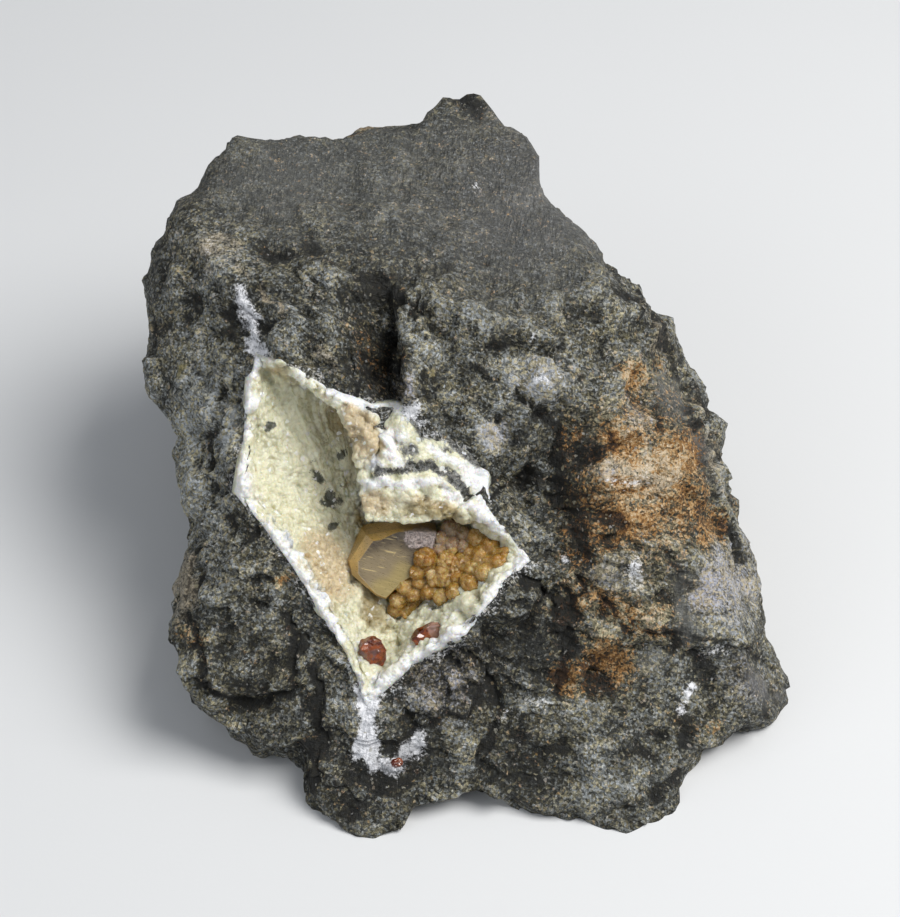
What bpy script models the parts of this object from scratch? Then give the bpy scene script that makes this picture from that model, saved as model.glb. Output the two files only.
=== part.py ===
"""Hand specimen of leadhillite: a lump of dark volcanic rock with a crust-lined pocket in its sloping face.

The rock's broken face leans back at 45 degrees and is described square on to it: "right", "up" and "out" are
millimetres to the right, up the slope and out of the face, from a point in the middle of the face. World axes:
+X right, +Y to the back, +Z up, with the rock's flat underside at Z = 0.
"""

import math

import bmesh
import bpy
import numpy as np

MM = 0.001
TURN = 2.0 * math.pi
GAP = 0.3
CRUST_CLEARANCE = 0.45

# The face: how it leans, where its middle is, and the distance it is looked at from
FACE_LEAN = math.radians(45.0)
FACE_MIDDLE = np.array([0.6, -8.6, 31.6])
EYE_DISTANCE = 250.0
FACE_RIGHT = np.array([1.0, 0.0, 0.0])
FACE_UP = np.array([0.0, math.sin(FACE_LEAN), math.cos(FACE_LEAN)])
FACE_OUT = np.array([0.0, -math.cos(FACE_LEAN), math.sin(FACE_LEAN)])

# The rock's outline seen square on to the face: (right, up), anticlockwise from the right-hand side
ROCK_OUTLINE = [
    (33.6, -1.2), (32.8, 4.0), (31.4, 5.3), (29.0, 8.2), (27.3, 10.3), (26.2, 13.2), (25.3, 16.0),
    (22.6, 18.6), (20.6, 20.5), (18.4, 22.2), (16.2, 25.0), (13.8, 27.7), (11.3, 30.6), (10.4, 32.0),
    (10.4, 35.2), (9.0, 37.4), (5.6, 40.2), (3.6, 43.0), (1.2, 44.6), (-1.2, 42.4), (-3.4, 40.0),
    (-6.6, 39.2), (-8.8, 39.1), (-11.8, 38.4), (-16.4, 37.9), (-21.0, 37.1), (-26.8, 37.6), (-28.6, 35.6),
    (-29.3, 32.2), (-32.0, 28.6), (-34.9, 24.8), (-35.6, 20.0), (-35.2, 14.6), (-35.3, 10.4), (-34.4, 6.4),
    (-32.7, 2.2), (-32.6, -1.4), (-32.0, -4.8), (-31.1, -8.2), (-32.4, -12.4), (-33.8, -16.8),
    (-32.9, -21.0), (-30.6, -24.0), (-30.5, -27.0), (-29.8, -30.0), (-28.6, -31.5), (-26.6, -32.6),
    (-23.2, -34.9), (-19.0, -35.1), (-17.6, -36.6), (-17.0, -40.4), (-14.4, -42.6), (-11.8, -43.9),
    (-8.6, -44.0), (-5.6, -43.2), (-4.3, -41.2), (-1.8, -40.5), (2.4, -40.0), (6.0, -40.2),
    (9.8, -42.3), (14.8, -43.1), (19.4, -44.6), (22.4, -44.5),
    (25.2, -42.9), (27.2, -40.3), (28.0, -37.4), (29.8, -34.6), (32.6, -32.8), (34.9, -31.4), (37.4, -31.3),
    (40.0, -29.6), (40.4, -27.2), (38.8, -24.4), (37.2, -21.2), (36.9, -17.2), (35.9, -12.6), (34.8, -8.2),
]
OUTLINE_CENTRE = np.array([1.2, -1.4])

# How far out of the face the widest part of the rock lies, by compass direction on the face in degrees
WIDEST_OUT = [
    (0, -20.0), (45, -18.0), (90, -21.0), (150, -18.0), (185, -12.0), (230, -4.0), (270, 1.0), (325, -9.0),
]
# The sides draw in by this share, this far before and behind the widest part
BARREL = 0.15
BARREL_LENGTH = 40.0
BARREL_LIMIT = 1.5
FURTHEST_SIDE = 90.0

# Broken facets of the face: (right, up, out) of a point, then how fast "out" changes to the right and up
FACE_FACETS = {
    "middle": (0.0, -6.0, 1.0, -0.02, 0.03),
    "top_slab": (0.0, 17.5, 0.6, 0.03, -0.80),
    "left_flank": (-24.5, 2.0, 0.2, 0.80, -0.12),
    "lower_left": (-20.0, -25.0, 1.4, 0.30, 0.14),
    "right_shoulder": (17.0, 0.0, 1.4, -0.46, -0.20),
    "right_edge": (30.4, -2.0, -5.2, -2.0, -0.50),
    "lower_right": (22.0, -26.0, 0.4, -0.36, 0.10),
    "foot": (8.0, -38.0, 3.2, -0.02, 0.55),
}

# Facets out of sight: (towards X, towards Y, towards Z, distance from the rock's centre)
HIDDEN_FACETS = [
    (0.05, 1.00, 0.12, 40.0),
    (-0.60, 0.76, 0.26, 46.5),
    (0.70, 0.70, 0.15, 42.0),
    (-0.25, 0.75, 0.61, 49.0),
    (0.45, 0.70, 0.56, 45.0),
    (-0.90, 0.10, -0.42, 34.0),
    (0.90, 0.20, -0.38, 40.0),
    (0.08, 0.80, -0.60, 33.0),
]
FACET_SOFTNESS = 0.9
NEARLY_ALONG = 1e-3
OUT_OF_REACH = 500.0

# Ledges that show past the main block: (compass direction, half width, set back, top out of the face)
LEDGES = [(8.0, 25.0, 3.0, -12.0), (199.0, 13.0, 2.4, -13.5)]
LEDGE_REACH = 36.0
LEDGE_TILT = 0.25
LEDGE_ENDS = 1.6

# Lumps (+) and hollows (-) on the face: right, up, half width, half length, turn in degrees, height
FACE_LUMPS = {
    "dark_pit": (-9.2, 13.2, 2.9, 4.8, 24, -6.0),
    "pit_streaks": (-7.6, 8.6, 1.8, 3.0, 24, -2.2),
    "valley": (12.6, -3.0, 3.4, 10.0, -14, -2.2),
    "orange_ridge": (18.8, 1.0, 3.2, 11.0, -8, 1.4),
    "ridge_foot": (17.5, -24.0, 4.0, 3.5, 0, 1.2),
    "purple_block": (-1.6, -25.2, 4.6, 3.4, 18, -1.3),
    "boulder": (-25.8, -24.6, 4.6, 3.8, 10, 2.4),
    "boulder_crack": (-23.8, -30.0, 4.6, 1.8, 12, -1.6),
    "lobe_crease": (-14.8, -30.0, 2.0, 6.5, -4, -1.6),
    "left_lobe": (-9.4, -38.5, 4.0, 3.6, 0, 1.6),
    "right_lobe": (19.6, -39.0, 5.0, 4.0, 0, 1.8),
    "right_horn": (36.5, -28.4, 3.0, 2.6, 0, 1.2),
    "left_dimple": (-31.0, 4.0, 2.0, 3.0, 0, -1.2),
    "top_chip": (-7.8, 33.5, 1.6, 4.4, 12, -1.4),
    "top_rise": (2.0, 36.0, 4.0, 4.2, 0, 1.2),
    "shoulder_scarp": (22.5, 12.0, 2.0, 6.0, 38, -1.2),
    "lower_ledge": (22.0, -28.6, 6.0, 2.4, 8, -1.2),
}

# Lumps (+) and hollows (-) out of sight: world place, radius, height
HIDDEN_LUMPS = {
    "arch_between_lobes": (2.0, -31.0, -6.0, 6.5, -4.0),
    "back_hollow": (-12.0, 36.0, 24.0, 9.0, -2.6),
    "back_knob": (16.0, 36.0, 14.0, 8.0, 2.2),
    "left_hollow": (-33.0, 14.0, 12.0, 8.0, -2.2),
    "right_hollow": (36.0, 8.0, 14.0, 8.0, -2.4),
    "left_toe": (-30.0, -16.0, 3.0, 7.0, -2.0),
}
# Lumps fall off by this power of the distance, flat on top and steep at the edge
LUMP_POWER = 1.4
# The face's lumps fade out towards the sides: slope and start of the fade
LUMP_FADE = (2.5, 0.6)

# Unevenness of broken rock: (size, height, seed) of rounded swells and of flat chips
SWELLS = [(17.0, 1.7, 3), (8.0, 0.9, 11), (4.0, 0.45, 23)]
CHIPS = [(10.5, 1.5, 5), (5.2, 0.7, 17)]
CHIP_SHARPNESS = 9.0
CHIP_TILT = 1.6
CHIP_STEP = 0.35
# The sides are this much smoother than the face and the back: share, and where the sides begin and blend
SIDE_CALM = 0.45
SIDE_LIMIT = 0.62
SIDE_BLEND = 0.3

CENTRE_OUT = -20.0
HALVINGS = 16
ROCK_GRID = 20
BELOW_GROUND = 7.0

# The pocket: outer edge of its crust on the face, anticlockwise from the right-hand tip, as (right, up)
POCKET_CENTRE = np.array([-11.8, -10.2])
CRUST_EDGE = [
    (9.6, -12.1), (7.3, -8.6), (5.0, -6.2), (4.4, -3.8), (4.4, -1.6), (2.2, 0.6), (-1.2, 3.2), (-4.4, 5.5),
    (-6.6, 6.6), (-9.2, 6.2), (-11.8, 7.4), (-14.2, 8.4), (-17.1, 10.0), (-20.1, 11.9), (-23.0, 12.8),
    (-23.9, 9.2), (-24.2, 5.2), (-24.5, 1.2), (-25.3, -4.1), (-22.1, -8.0), (-18.6, -12.8), (-14.8, -19.0),
    (-13.0, -21.6), (-11.2, -25.4), (-9.9, -29.2), (-6.8, -26.7), (-4.2, -24.2), (-1.2, -22.2), (2.0, -20.8),
    (3.5, -18.5), (5.6, -16.4), (6.9, -14.1),
]
# Inner edge of the rim, and of the lip that overhangs the pocket at its upper right
CRUST_LIP = [
    (7.8, -11.6), (6.3, -10.4), (3.4, -7.5), (0.5, -6.9), (-3.7, -7.4), (-7.8, -7.4), (-9.5, -7.0),
    (-10.4, -3.8), (-10.3, -1.4), (-10.9, 0.5), (-11.6, 2.5), (-12.4, 4.2), (-13.0, 5.7), (-15.3, 7.4),
    (-16.9, 8.9), (-18.9, 10.4), (-22.0, 10.9), (-22.7, 6.0), (-23.1, 0.4), (-23.3, -4.3), (-20.4, -8.2),
    (-17.0, -13.0), (-13.6, -18.9),
    (-11.6, -22.0), (-10.3, -25.4), (-9.3, -27.0), (-7.6, -25.2), (-4.8, -22.4), (-2.0, -20.6), (0.9, -19.2),
    (2.6, -16.8), (5.0, -14.2), (6.0, -12.6),
]
NARROWEST_RIM = 0.9
POCKET_DEPTH = 9.0
CRUST_THICKNESS = 1.8
LIP_THICKNESS = 1.0
WALL_SOFTNESS = 1.5
# Clearance grows by this factor square on to a sloping wall
WALL_STRETCH = 1.3
# Flat walls of the pocket: (right, up) of a point on the rim, compass direction into the pocket, steepness
POCKET_WALLS = {
    "left_slab": (-24.4, 5.0, -2, 0.66),
    "lower_left": (-19.8, -11.5, 33, 0.86),
    "lower_right": (-1.0, -21.2, 133, 1.45),
    "right_end": (7.0, -11.0, 178, 1.50),
    "top": (-17.0, 9.6, 247, 5.0),
}
# The wall below the pocket's top edge, which the space under the lip doesn't have
TOP_WALL = "top"
# The pocket's walls leave the rim no steeper than this, and the rim drops this far into the pocket
RIM_STEEPNESS = 4.5
RIM_SHOULDER = 1.3
# How far the wall runs back under the lip, by compass direction: to the right and up
UNDERCUT = [
    (0, 0.0, 0.0), (12, 0.0, 0.6), (24, 0.3, 1.7), (40, 0.9, 1.9), (62, 1.4, 1.6), (78, 1.9, 1.0),
    (96, 1.8, 0.6), (106, 0.7, 0.7), (116, 0.0, 0.3), (124, 0.0, 0.0), (350, 0.0, 0.0),
]
FULL_UNDERCUT = 1.2
CRUST_AROUND = 80
# Rings of the crust from its edge inwards: across the rim, down the wall and over the floor
RIM_SHARES = [0.0, 0.25, 0.55, 0.8, 1.0]
# The crust meets the rock this far below its face, rises across the rim and drops to the lip
EDGE_DROP = 0.1
RIM_RISE = 0.45
RIM_DROP = 0.3
WALL_SHARES = [0.97, 0.93, 0.87, 0.80, 0.72]
FLOOR_SHARES = [0.63, 0.53, 0.43, 0.33, 0.22, 0.11]
BACK_WALL_SHARES = [0.95, 0.86, 0.76, 0.66]
BACK_FLOOR_SHARES = [0.5, 0.34, 0.17]
# Steps down the wall under the lip: share of the undercut, share of the depth
LIP_STEPS = [(0.3, 0.14), (0.8, 0.34), (1.0, 0.56), (0.7, 0.78), (0.2, 0.92)]
BACK_LIP_STEPS = [(0.6, 0.2), (1.0, 0.5), (1.0, 0.8), (0.75, 1.0)]
# Knobs of the crust: (size, height, seed), and how much of the height they stand and how far they sit in
CRUST_KNOBS = [(4.2, 0.55, 31), (2.2, 0.30, 47)]
KNOB_STAND = 1.6
KNOB_SINK = 0.5
# Rings inside the pocket take this share of their reach from its mean
RING_ROUNDING = 0.5
TIP_DROP = 0.1
SAME_POINT = 1e-4
# How far the cutters run out of the face and below the pocket
ABOVE_FACE = 9.0
BELOW_POCKET = 6.0

# The leadhillite crystal: corners of its top face, right and up, and the lie of the face
CRYSTAL_TOP = [
    (-9.9, -9.0), (-6.0, -8.3), (-1.6, -8.7), (-2.2, -12.6), (-5.6, -14.6), (-7.6, -16.6), (-8.7, -16.2),
    (-11.5, -13.8), (-11.9, -12.2),
]
CRYSTAL_MIDDLE = (-6.5, -12.0)
CRYSTAL_OUT = -2.8
CRYSTAL_SLOPE = (-0.10, 0.14)
CRYSTAL_FLARE = 1.07
CRYSTAL_LEAN = (-0.5, 0.9)
CRYSTAL_DEPTH = 5.2
# The room cut for it in the balls is wider and deeper than the gap by these factors
ROOM_ROUND = 1.3
ROOM_BELOW = 3.0

# The amber balls: (right, up, out, radius), the larger ones by hand and the rest as a spiral of small ones
BALL_CORE = (0.2, -13.0, -6.4)
BALL_CORE_SIZE = (6.0, 4.3, 3.5)
BALL_CORE_SHARE = 0.9
LARGE_BALLS = [
    (-2.9, -12.0, -3.1, 1.45), (-0.5, -12.2, -3.2, 1.25), (-3.9, -13.6, -3.3, 1.0), (-1.0, -14.2, -3.4, 1.2),
    (1.3, -12.4, -3.5, 1.1), (0.8, -14.2, -3.8, 1.1), (2.6, -13.2, -3.8, 1.15), (3.6, -11.6, -3.6, 1.3),
    (0.1, -8.5, -4.2, 1.25), (1.5, -9.1, -4.2, 1.0), (0.2, -10.3, -3.7, 1.05), (1.5, -10.6, -3.6, 0.85),
    (3.2, -9.6, -4.0, 1.3), (4.8, -10.5, -3.3, 1.3), (-5.5, -15.4, -3.9, 1.0), (-4.4, -16.2, -4.2, 1.05),
    (-6.3, -17.0, -4.6, 1.1), (-6.6, -18.2, -5.2, 0.95), (-2.6, -15.8, -4.3, 1.1), (-1.0, -16.2, -4.8, 0.95),
    (6.2, -11.1, -2.1, 0.95), (4.8, -9.4, -4.0, 0.9), (1.2, -15.7, -4.1, 1.0), (2.7, -14.9, -3.8, 1.1),
    (4.2, -13.5, -3.3, 1.15), (-5.3, -18.6, -5.4, 0.75), (5.3, -12.1, -2.9, 1.15), (1.4, -12.3, -2.9, 0.5),
    (-3.8, -14.9, -3.6, 0.8), (-2.2, -13.8, -3.1, 0.8), (0.5, -13.2, -3.2, 0.75), (2.3, -11.4, -3.5, 0.9),
    (-1.0, -9.6, -3.3, 0.9), (-1.3, -10.8, -3.2, 0.8),
]
SMALL_BALLS = 34
SMALL_BALL_RADIUS = 0.62
SMALL_BALL_SPREAD = 0.3
GOLDEN_ANGLE = math.radians(137.5)

# Red crystals, each a cube with its edges cut back: middle (right, up, out), size, turn in degrees
RED_CUBE = 1.5
RED_BEVEL = 0.38
RED_CRYSTALS = {
    "red_crystal_lower": ((-9.2, -22.9, -1.6), (2.0, 2.3, 1.6), 24.0),
    "red_crystal_right": ((-2.5, -20.8, -1.0), (2.6, 1.5, 1.2), 28.0),
    "red_crystal_vein": ((-6.2, -35.7, 1.2), (0.9, 0.6, 0.7), 18.0),
}


MATERIALS = {
    "dark_rock": ((0.105, 0.104, 0.099, 1.0), 0.80),
    "cream_crust": ((0.560, 0.520, 0.360, 1.0), 0.35),
    "smoky_crystal": ((0.300, 0.215, 0.115, 1.0), 0.18),
    "amber_mineral": ((0.360, 0.190, 0.055, 1.0), 0.30),
    "red_mineral": ((0.300, 0.055, 0.020, 1.0), 0.22),
}


def to_world(face_points):
    """Points given as (right, up, out) of the face, in world millimetres."""
    right, up, out = face_points.T
    axes = np.outer(right, FACE_RIGHT) + np.outer(up, FACE_UP) + np.outer(out, FACE_OUT)
    return FACE_MIDDLE + axes


def face_direction(world_vector):
    """A world direction as (right, up, out), of length 1."""
    turned = np.array([np.dot(world_vector, axis) for axis in (FACE_RIGHT, FACE_UP, FACE_OUT)])
    return turned / np.linalg.norm(turned)


def seen_at(points):
    """Where points given as (right, up, out) show on the plane of the face, looked at from the eye."""
    return points[:, :2] / (1.0 - points[:, 2:] / EYE_DISTANCE)


def behind(seen, out):
    """The points that show at "seen" and lie "out" of the face."""
    return np.column_stack([seen * (1.0 - out / EYE_DISTANCE)[:, None], out])


def corner_value(cell, seed):
    """A fixed number from 0 to 1 for each corner of a lattice, by mixing whole numbers."""
    i, j, k = (cell[..., axis].astype(np.int64) for axis in range(3))
    mixed = (i * 73856093) ^ (j * 19349663) ^ (k * 83492791) ^ (seed * 668265263)
    mixed = ((mixed ^ (mixed >> 13)) * 1274126177) & 0xFFFFFFFF
    mixed = ((mixed ^ (mixed >> 16)) * 2246822519) & 0xFFFFFFFF
    return (mixed ^ (mixed >> 15)) / 4294967295.0


def swell(points, size, seed):
    """Smooth random rise and fall from -1 to 1: lattice values blended along each axis."""
    scaled = points / size + 100.0
    base = np.floor(scaled)
    part = scaled - base
    part = part * part * part * (part * (part * 6.0 - 15.0) + 10.0)
    total = np.zeros(len(points))
    for corner in np.ndindex(2, 2, 2):
        offset = np.array(corner)
        share = np.prod(np.where(offset == 1, part, 1.0 - part), axis=1)
        total += share * corner_value(base + offset, seed)
    return total * 2.0 - 1.0


def chip(points, size, seed):
    """Flat chips from -1 to 1: each random site owns a tilted plane, and planes meet in soft creases."""
    scaled = points / size + 100.0
    base = np.floor(scaled)
    total = np.zeros(len(points))
    weights = np.full(len(points), 1e-9)
    for corner in np.ndindex(3, 3, 3):
        cell = base + np.array(corner) - 1
        jitter = np.column_stack([corner_value(cell, seed + axis) for axis in range(3)])
        tilt = np.column_stack([corner_value(cell, seed + 50 + axis) for axis in range(3)]) * 2.0 - 1.0
        away = scaled - (cell + jitter)
        weight = np.exp(-CHIP_SHARPNESS * (away * away).sum(axis=1))
        total += weight * ((away * tilt).sum(axis=1) * CHIP_TILT + tilt[:, 0] * CHIP_STEP)
        weights += weight
    return total / weights


def around(pairs, degrees):
    """Values given at some compass directions, eased between them all the way round."""
    angles, values = np.array(pairs, float).T
    return np.interp(degrees % 360.0, angles, values, period=360.0)


def outline_reach(outline, centre, angle):
    """Distance from the centre to a closed outline in each direction, along its straight edges."""
    points = np.array(outline) - centre
    corner = np.arctan2(points[:, 1], points[:, 0]) % TURN
    order = np.argsort(corner)
    corner = corner[order]
    reach = np.hypot(points[:, 0], points[:, 1])[order]
    corner = np.concatenate([corner[-1:] - TURN, corner, corner[:1] + TURN])
    reach = np.concatenate([reach[-1:], reach, reach[:1]])
    angle = angle % TURN
    after = np.clip(np.searchsorted(corner, angle), 1, len(corner) - 1)
    first, last = corner[after - 1], corner[after]
    inverse = np.sin(last - angle) / reach[after - 1] + np.sin(angle - first) / reach[after]
    return np.sin(last - first) / inverse


def soft_least(a, b, softness):
    """The smaller of two lengths, rounded off where they are nearly equal."""
    closeness = np.maximum(softness - np.abs(a - b), 0.0) / softness
    return np.minimum(a, b) - closeness * closeness * softness / 4.0


def plane_reach(offset, slope):
    """Distance to a plane along each direction, far away where the direction never meets it."""
    return np.where(slope > NEARLY_ALONG, offset / np.maximum(slope, NEARLY_ALONG), OUT_OF_REACH)


def rock_centre():
    """The point inside the rock that its surface is measured from, as (right, up, out)."""
    return behind(OUTLINE_CENTRE[None], np.array([CENTRE_OUT]))[0]


def side_reach(direction, reach_factor):
    """Distance to the rock's sides: the cone through its outline from the eye, drawn in before and behind."""
    skewed = direction[:, :2] + OUTLINE_CENTRE * direction[:, 2:] / EYE_DISTANCE
    angle = np.arctan2(skewed[:, 1], skewed[:, 0])
    length = np.hypot(skewed[:, 0], skewed[:, 1])
    reach = outline_reach(ROCK_OUTLINE, OUTLINE_CENTRE, angle) * reach_factor(np.degrees(angle))
    widest = around(WIDEST_OUT, np.degrees(angle))

    def distance(drawn):
        slant = length + drawn * direction[:, 2] / EYE_DISTANCE
        return drawn * (1.0 - CENTRE_OUT / EYE_DISTANCE) / np.maximum(slant, NEARLY_ALONG)

    drawn = reach
    for _ in range(2):
        out = CENTRE_OUT + np.minimum(distance(drawn), FURTHEST_SIDE) * direction[:, 2]
        drawn = reach * (1.0 - BARREL * np.minimum(((out - widest) / BARREL_LENGTH) ** 2, BARREL_LIMIT))
    return distance(drawn)


def ledge_window(degrees, ledge):
    """1 in the middle of a ledge's stretch of outline, falling to 0 at its ends."""
    middle, half_width = ledge[0], ledge[1]
    away = np.abs((degrees - middle + 180.0) % 360.0 - 180.0) / half_width
    return np.clip(LEDGE_ENDS * (1.0 - away), 0.0, 1.0)


def block_reach(direction):
    """Distance from the rock's centre to its surface before lumps and unevenness are added."""
    centre = rock_centre()

    def set_back(degrees):
        factor = np.ones_like(degrees)
        for ledge in LEDGES:
            factor -= ledge_window(degrees, ledge) * ledge[2] / LEDGE_REACH
        return factor

    reach = side_reach(direction, set_back)
    for right, up, out, right_slope, up_slope in FACE_FACETS.values():
        offset = out + right_slope * (centre[0] - right) + up_slope * (centre[1] - up) - centre[2]
        slope = direction[:, 2] - right_slope * direction[:, 0] - up_slope * direction[:, 1]
        reach = soft_least(reach, plane_reach(offset, slope), FACET_SOFTNESS)
    widest = side_reach(direction, np.ones_like)
    degrees = np.degrees(np.arctan2(direction[:, 1], direction[:, 0]))
    for ledge in LEDGES:
        top = plane_reach(ledge[3] - centre[2], direction[:, 2] + LEDGE_TILT)
        shelf = soft_least(widest, top, FACET_SOFTNESS)
        inside = ledge_window(degrees, ledge) > 0.02
        reach = np.where(inside, np.maximum(reach, shelf), reach)
    for x, y, z, distance in HIDDEN_FACETS:
        slope = direction @ face_direction(np.array([x, y, z]))
        reach = soft_least(reach, plane_reach(distance, slope), FACET_SOFTNESS)
    return reach


def lump_height(seen):
    """Sum of the rounded lumps and hollows of the face at each seen place."""
    height = np.zeros(len(seen))
    for right, up, half_width, half_length, turn, rise in FACE_LUMPS.values():
        c, s = math.cos(math.radians(turn)), math.sin(math.radians(turn))
        x, y = seen[:, 0] - right, seen[:, 1] - up
        across, along = (x * c + y * s) / half_width, (y * c - x * s) / half_length
        height += rise * np.exp(-(across * across + along * along) ** LUMP_POWER)
    return height


def hidden_lump_height(world_points):
    """Sum of the rounded lumps and hollows on the sides that the face doesn't show."""
    height = np.zeros(len(world_points))
    for x, y, z, radius, rise in HIDDEN_LUMPS.values():
        away = np.linalg.norm(world_points - np.array([x, y, z]), axis=1) / radius
        height += rise * np.exp(-away * away)
    return height


def rock_reach(direction):
    """Distance from the rock's centre to its finished surface in each direction."""
    reach = block_reach(direction)
    points = rock_centre() + reach[:, None] * direction
    facing = np.clip(direction[:, 2] * LUMP_FADE[0] + LUMP_FADE[1], 0.0, 1.0)
    rough = lump_height(seen_at(points)) * facing + hidden_lump_height(to_world(points))
    for size, height, seed in SWELLS:
        rough += height * swell(points, size, seed)
    for size, height, seed in CHIPS:
        rough += height * chip(points, size, seed)
    sideways = np.clip((SIDE_LIMIT - np.abs(direction[:, 2])) / SIDE_BLEND, 0.0, 1.0)
    return reach + rough * (1.0 - SIDE_CALM * sideways)


def face_out(seen):
    """How far out the rock's surface is at each seen place, found by halving the stretch that holds it."""
    inside = np.full(len(seen), CENTRE_OUT)
    outside = np.full(len(seen), -CENTRE_OUT)
    for _ in range(HALVINGS):
        middle = (inside + outside) / 2.0
        arm = behind(seen, middle) - rock_centre()
        distance = np.linalg.norm(arm, axis=1)
        beyond = distance > rock_reach(arm / distance[:, None])
        inside = np.where(beyond, inside, middle)
        outside = np.where(beyond, middle, outside)
    return (inside + outside) / 2.0


def material(name):
    colour, roughness = MATERIALS[name]
    made = bpy.data.materials.new(name)
    made.use_nodes = True
    shader = made.node_tree.nodes["Principled BSDF"]
    shader.inputs["Base Color"].default_value = colour
    shader.inputs["Roughness"].default_value = roughness
    shader.inputs["Metallic"].default_value = 0.0
    return made


def add_object(name, bm, material_name=None):
    """An object from a bmesh in millimetres. Without a material it is a cutter, no part of the model."""
    bmesh.ops.recalc_face_normals(bm, faces=bm.faces)
    bmesh.ops.scale(bm, vec=(MM, MM, MM), verts=bm.verts)
    mesh = bpy.data.meshes.new(name)
    bm.to_mesh(mesh)
    bm.free()
    obj = bpy.data.objects.new(name, mesh)
    bpy.context.scene.collection.objects.link(obj)
    if material_name:
        mesh.materials.append(bpy.data.materials[material_name])
    else:
        obj.hide_render = True
        obj.display_type = "WIRE"
    return obj


def cut(obj, cutter):
    boolean = obj.modifiers.new("cut_" + cutter.name, "BOOLEAN")
    boolean.operation = "DIFFERENCE"
    boolean.object = cutter


def rock_bmesh():
    """The rock: a cube's grid pushed out to the surface, then cut flat underneath."""
    bm = bmesh.new()
    bmesh.ops.create_cube(bm, size=2.0)
    bmesh.ops.subdivide_edges(bm, edges=bm.edges, cuts=ROCK_GRID - 1, use_grid_fill=True)
    grid = np.tan(np.array([v.co for v in bm.verts]) * math.pi / 4.0)
    direction = grid / np.linalg.norm(grid, axis=1)[:, None]
    points = to_world(rock_centre() + rock_reach(direction)[:, None] * direction)
    points[:, 2] = np.maximum(points[:, 2], -BELOW_GROUND)
    for vert, point in zip(bm.verts, points):
        vert.co = point
    everything = bm.verts[:] + bm.edges[:] + bm.faces[:]
    bmesh.ops.bisect_plane(bm, geom=everything, plane_no=(0, 0, 1), clear_inner=True)
    bmesh.ops.holes_fill(bm, edges=[edge for edge in bm.edges if edge.is_boundary])
    bmesh.ops.triangulate(bm, faces=bm.faces)
    return bm


def pocket_directions():
    """Directions round the pocket's centre, in radians, that space points evenly along the edge of the lip."""
    fine = np.linspace(0.0, TURN, 3601)
    edge = outward(fine, outline_reach(CRUST_LIP, POCKET_CENTRE, fine))
    length = np.concatenate([[0.0], np.cumsum(np.hypot(*np.diff(edge, axis=0).T))])
    return np.interp(np.arange(CRUST_AROUND) * length[-1] / CRUST_AROUND, length, fine)


def outward(angle, reach):
    """Seen places at a distance from the pocket's centre in each direction."""
    return POCKET_CENTRE + np.column_stack([np.cos(angle), np.sin(angle)]) * np.asarray(reach)[:, None]


def pocket_shape(angle):
    """For each direction: reach of the crust's edge and of its lip, the undercut, and how much it overhangs."""
    outer = outline_reach(CRUST_EDGE, POCKET_CENTRE, angle)
    inner = np.minimum(outline_reach(CRUST_LIP, POCKET_CENTRE, angle), outer - NARROWEST_RIM)
    table = np.array(UNDERCUT)
    under = np.column_stack([around(table[:, [0, column]], np.degrees(angle)) for column in (1, 2)])
    return outer, inner, under, np.clip(np.hypot(*under.T) / FULL_UNDERCUT, 0.0, 1.0)


def plane_depth(seen, name, grow):
    """Depth of one of the pocket's flat walls at each seen place."""
    right, up, inward, steepness = POCKET_WALLS[name]
    heading = np.array([math.cos(math.radians(inward)), math.sin(math.radians(inward))])
    return (seen - np.array([right, up])) @ heading * steepness + grow * WALL_STRETCH


def floor_depth(seen, grow):
    """Depth of the pocket's floor and sloping sides at each seen place, as if nothing rose under its top edge."""
    depth = np.full(len(seen), POCKET_DEPTH + grow)
    for name in POCKET_WALLS:
        if name != TOP_WALL:
            depth = soft_least(depth, plane_depth(seen, name, grow), WALL_SOFTNESS)
    return np.maximum(depth, 0.0)


def wall_depth(seen, from_rim, grow):
    """Depth of the open pocket at each seen place: the shallowest of its flat walls and its floor."""
    depth = soft_least(floor_depth(seen, grow), plane_depth(seen, TOP_WALL, grow), WALL_SOFTNESS)
    return np.minimum(np.maximum(depth, 0.0), from_rim * RIM_STEEPNESS + grow)


def ring_reach(reach, share):
    """A share of the way to the rim, on rings that grow rounder towards the pocket's middle."""
    rounder = (1.0 - RING_ROUNDING) * reach + RING_ROUNDING * reach.mean()
    return share * (reach * share + rounder * (1.0 - share))


def mixed(open_part, lip_part, overhang):
    """The open wall where nothing overhangs, and the wall under the lip where it does."""
    if open_part.ndim == 2:
        overhang = overhang[:, None]
    return open_part * (1.0 - overhang) + lip_part * overhang


def front_stations(angle):
    """The crust's open side from its edge to the pocket's middle, as (seen place, depth below the face)."""
    outer, inner, under, overhang = pocket_shape(angle)
    lip = outward(angle, inner)
    shoulder = mixed(np.minimum(floor_depth(lip, 0.0), RIM_SHOULDER), RIM_DROP, overhang)
    stations = []
    for share in RIM_SHARES:
        depth = EDGE_DROP - RIM_RISE * math.sin(math.pi * share) + shoulder * share * share
        stations.append((outward(angle, outer + (inner - outer) * share), depth))
    for share, (slide, drop) in zip(WALL_SHARES, LIP_STEPS):
        reach = ring_reach(inner, share)
        seen, under_lip = outward(angle, reach), lip + under * slide
        open_depth = np.maximum(wall_depth(seen, inner - reach, 0.0), shoulder)
        lip_depth = floor_depth(under_lip, 0.0) * drop
        stations.append((mixed(seen, under_lip, overhang), mixed(open_depth, lip_depth, overhang)))
    for share in FLOOR_SHARES:
        reach = ring_reach(inner, share)
        seen = outward(angle, reach)
        depth = mixed(wall_depth(seen, inner - reach, 0.0), floor_depth(seen, 0.0), overhang)
        stations.append((seen, depth))
    return stations


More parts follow.
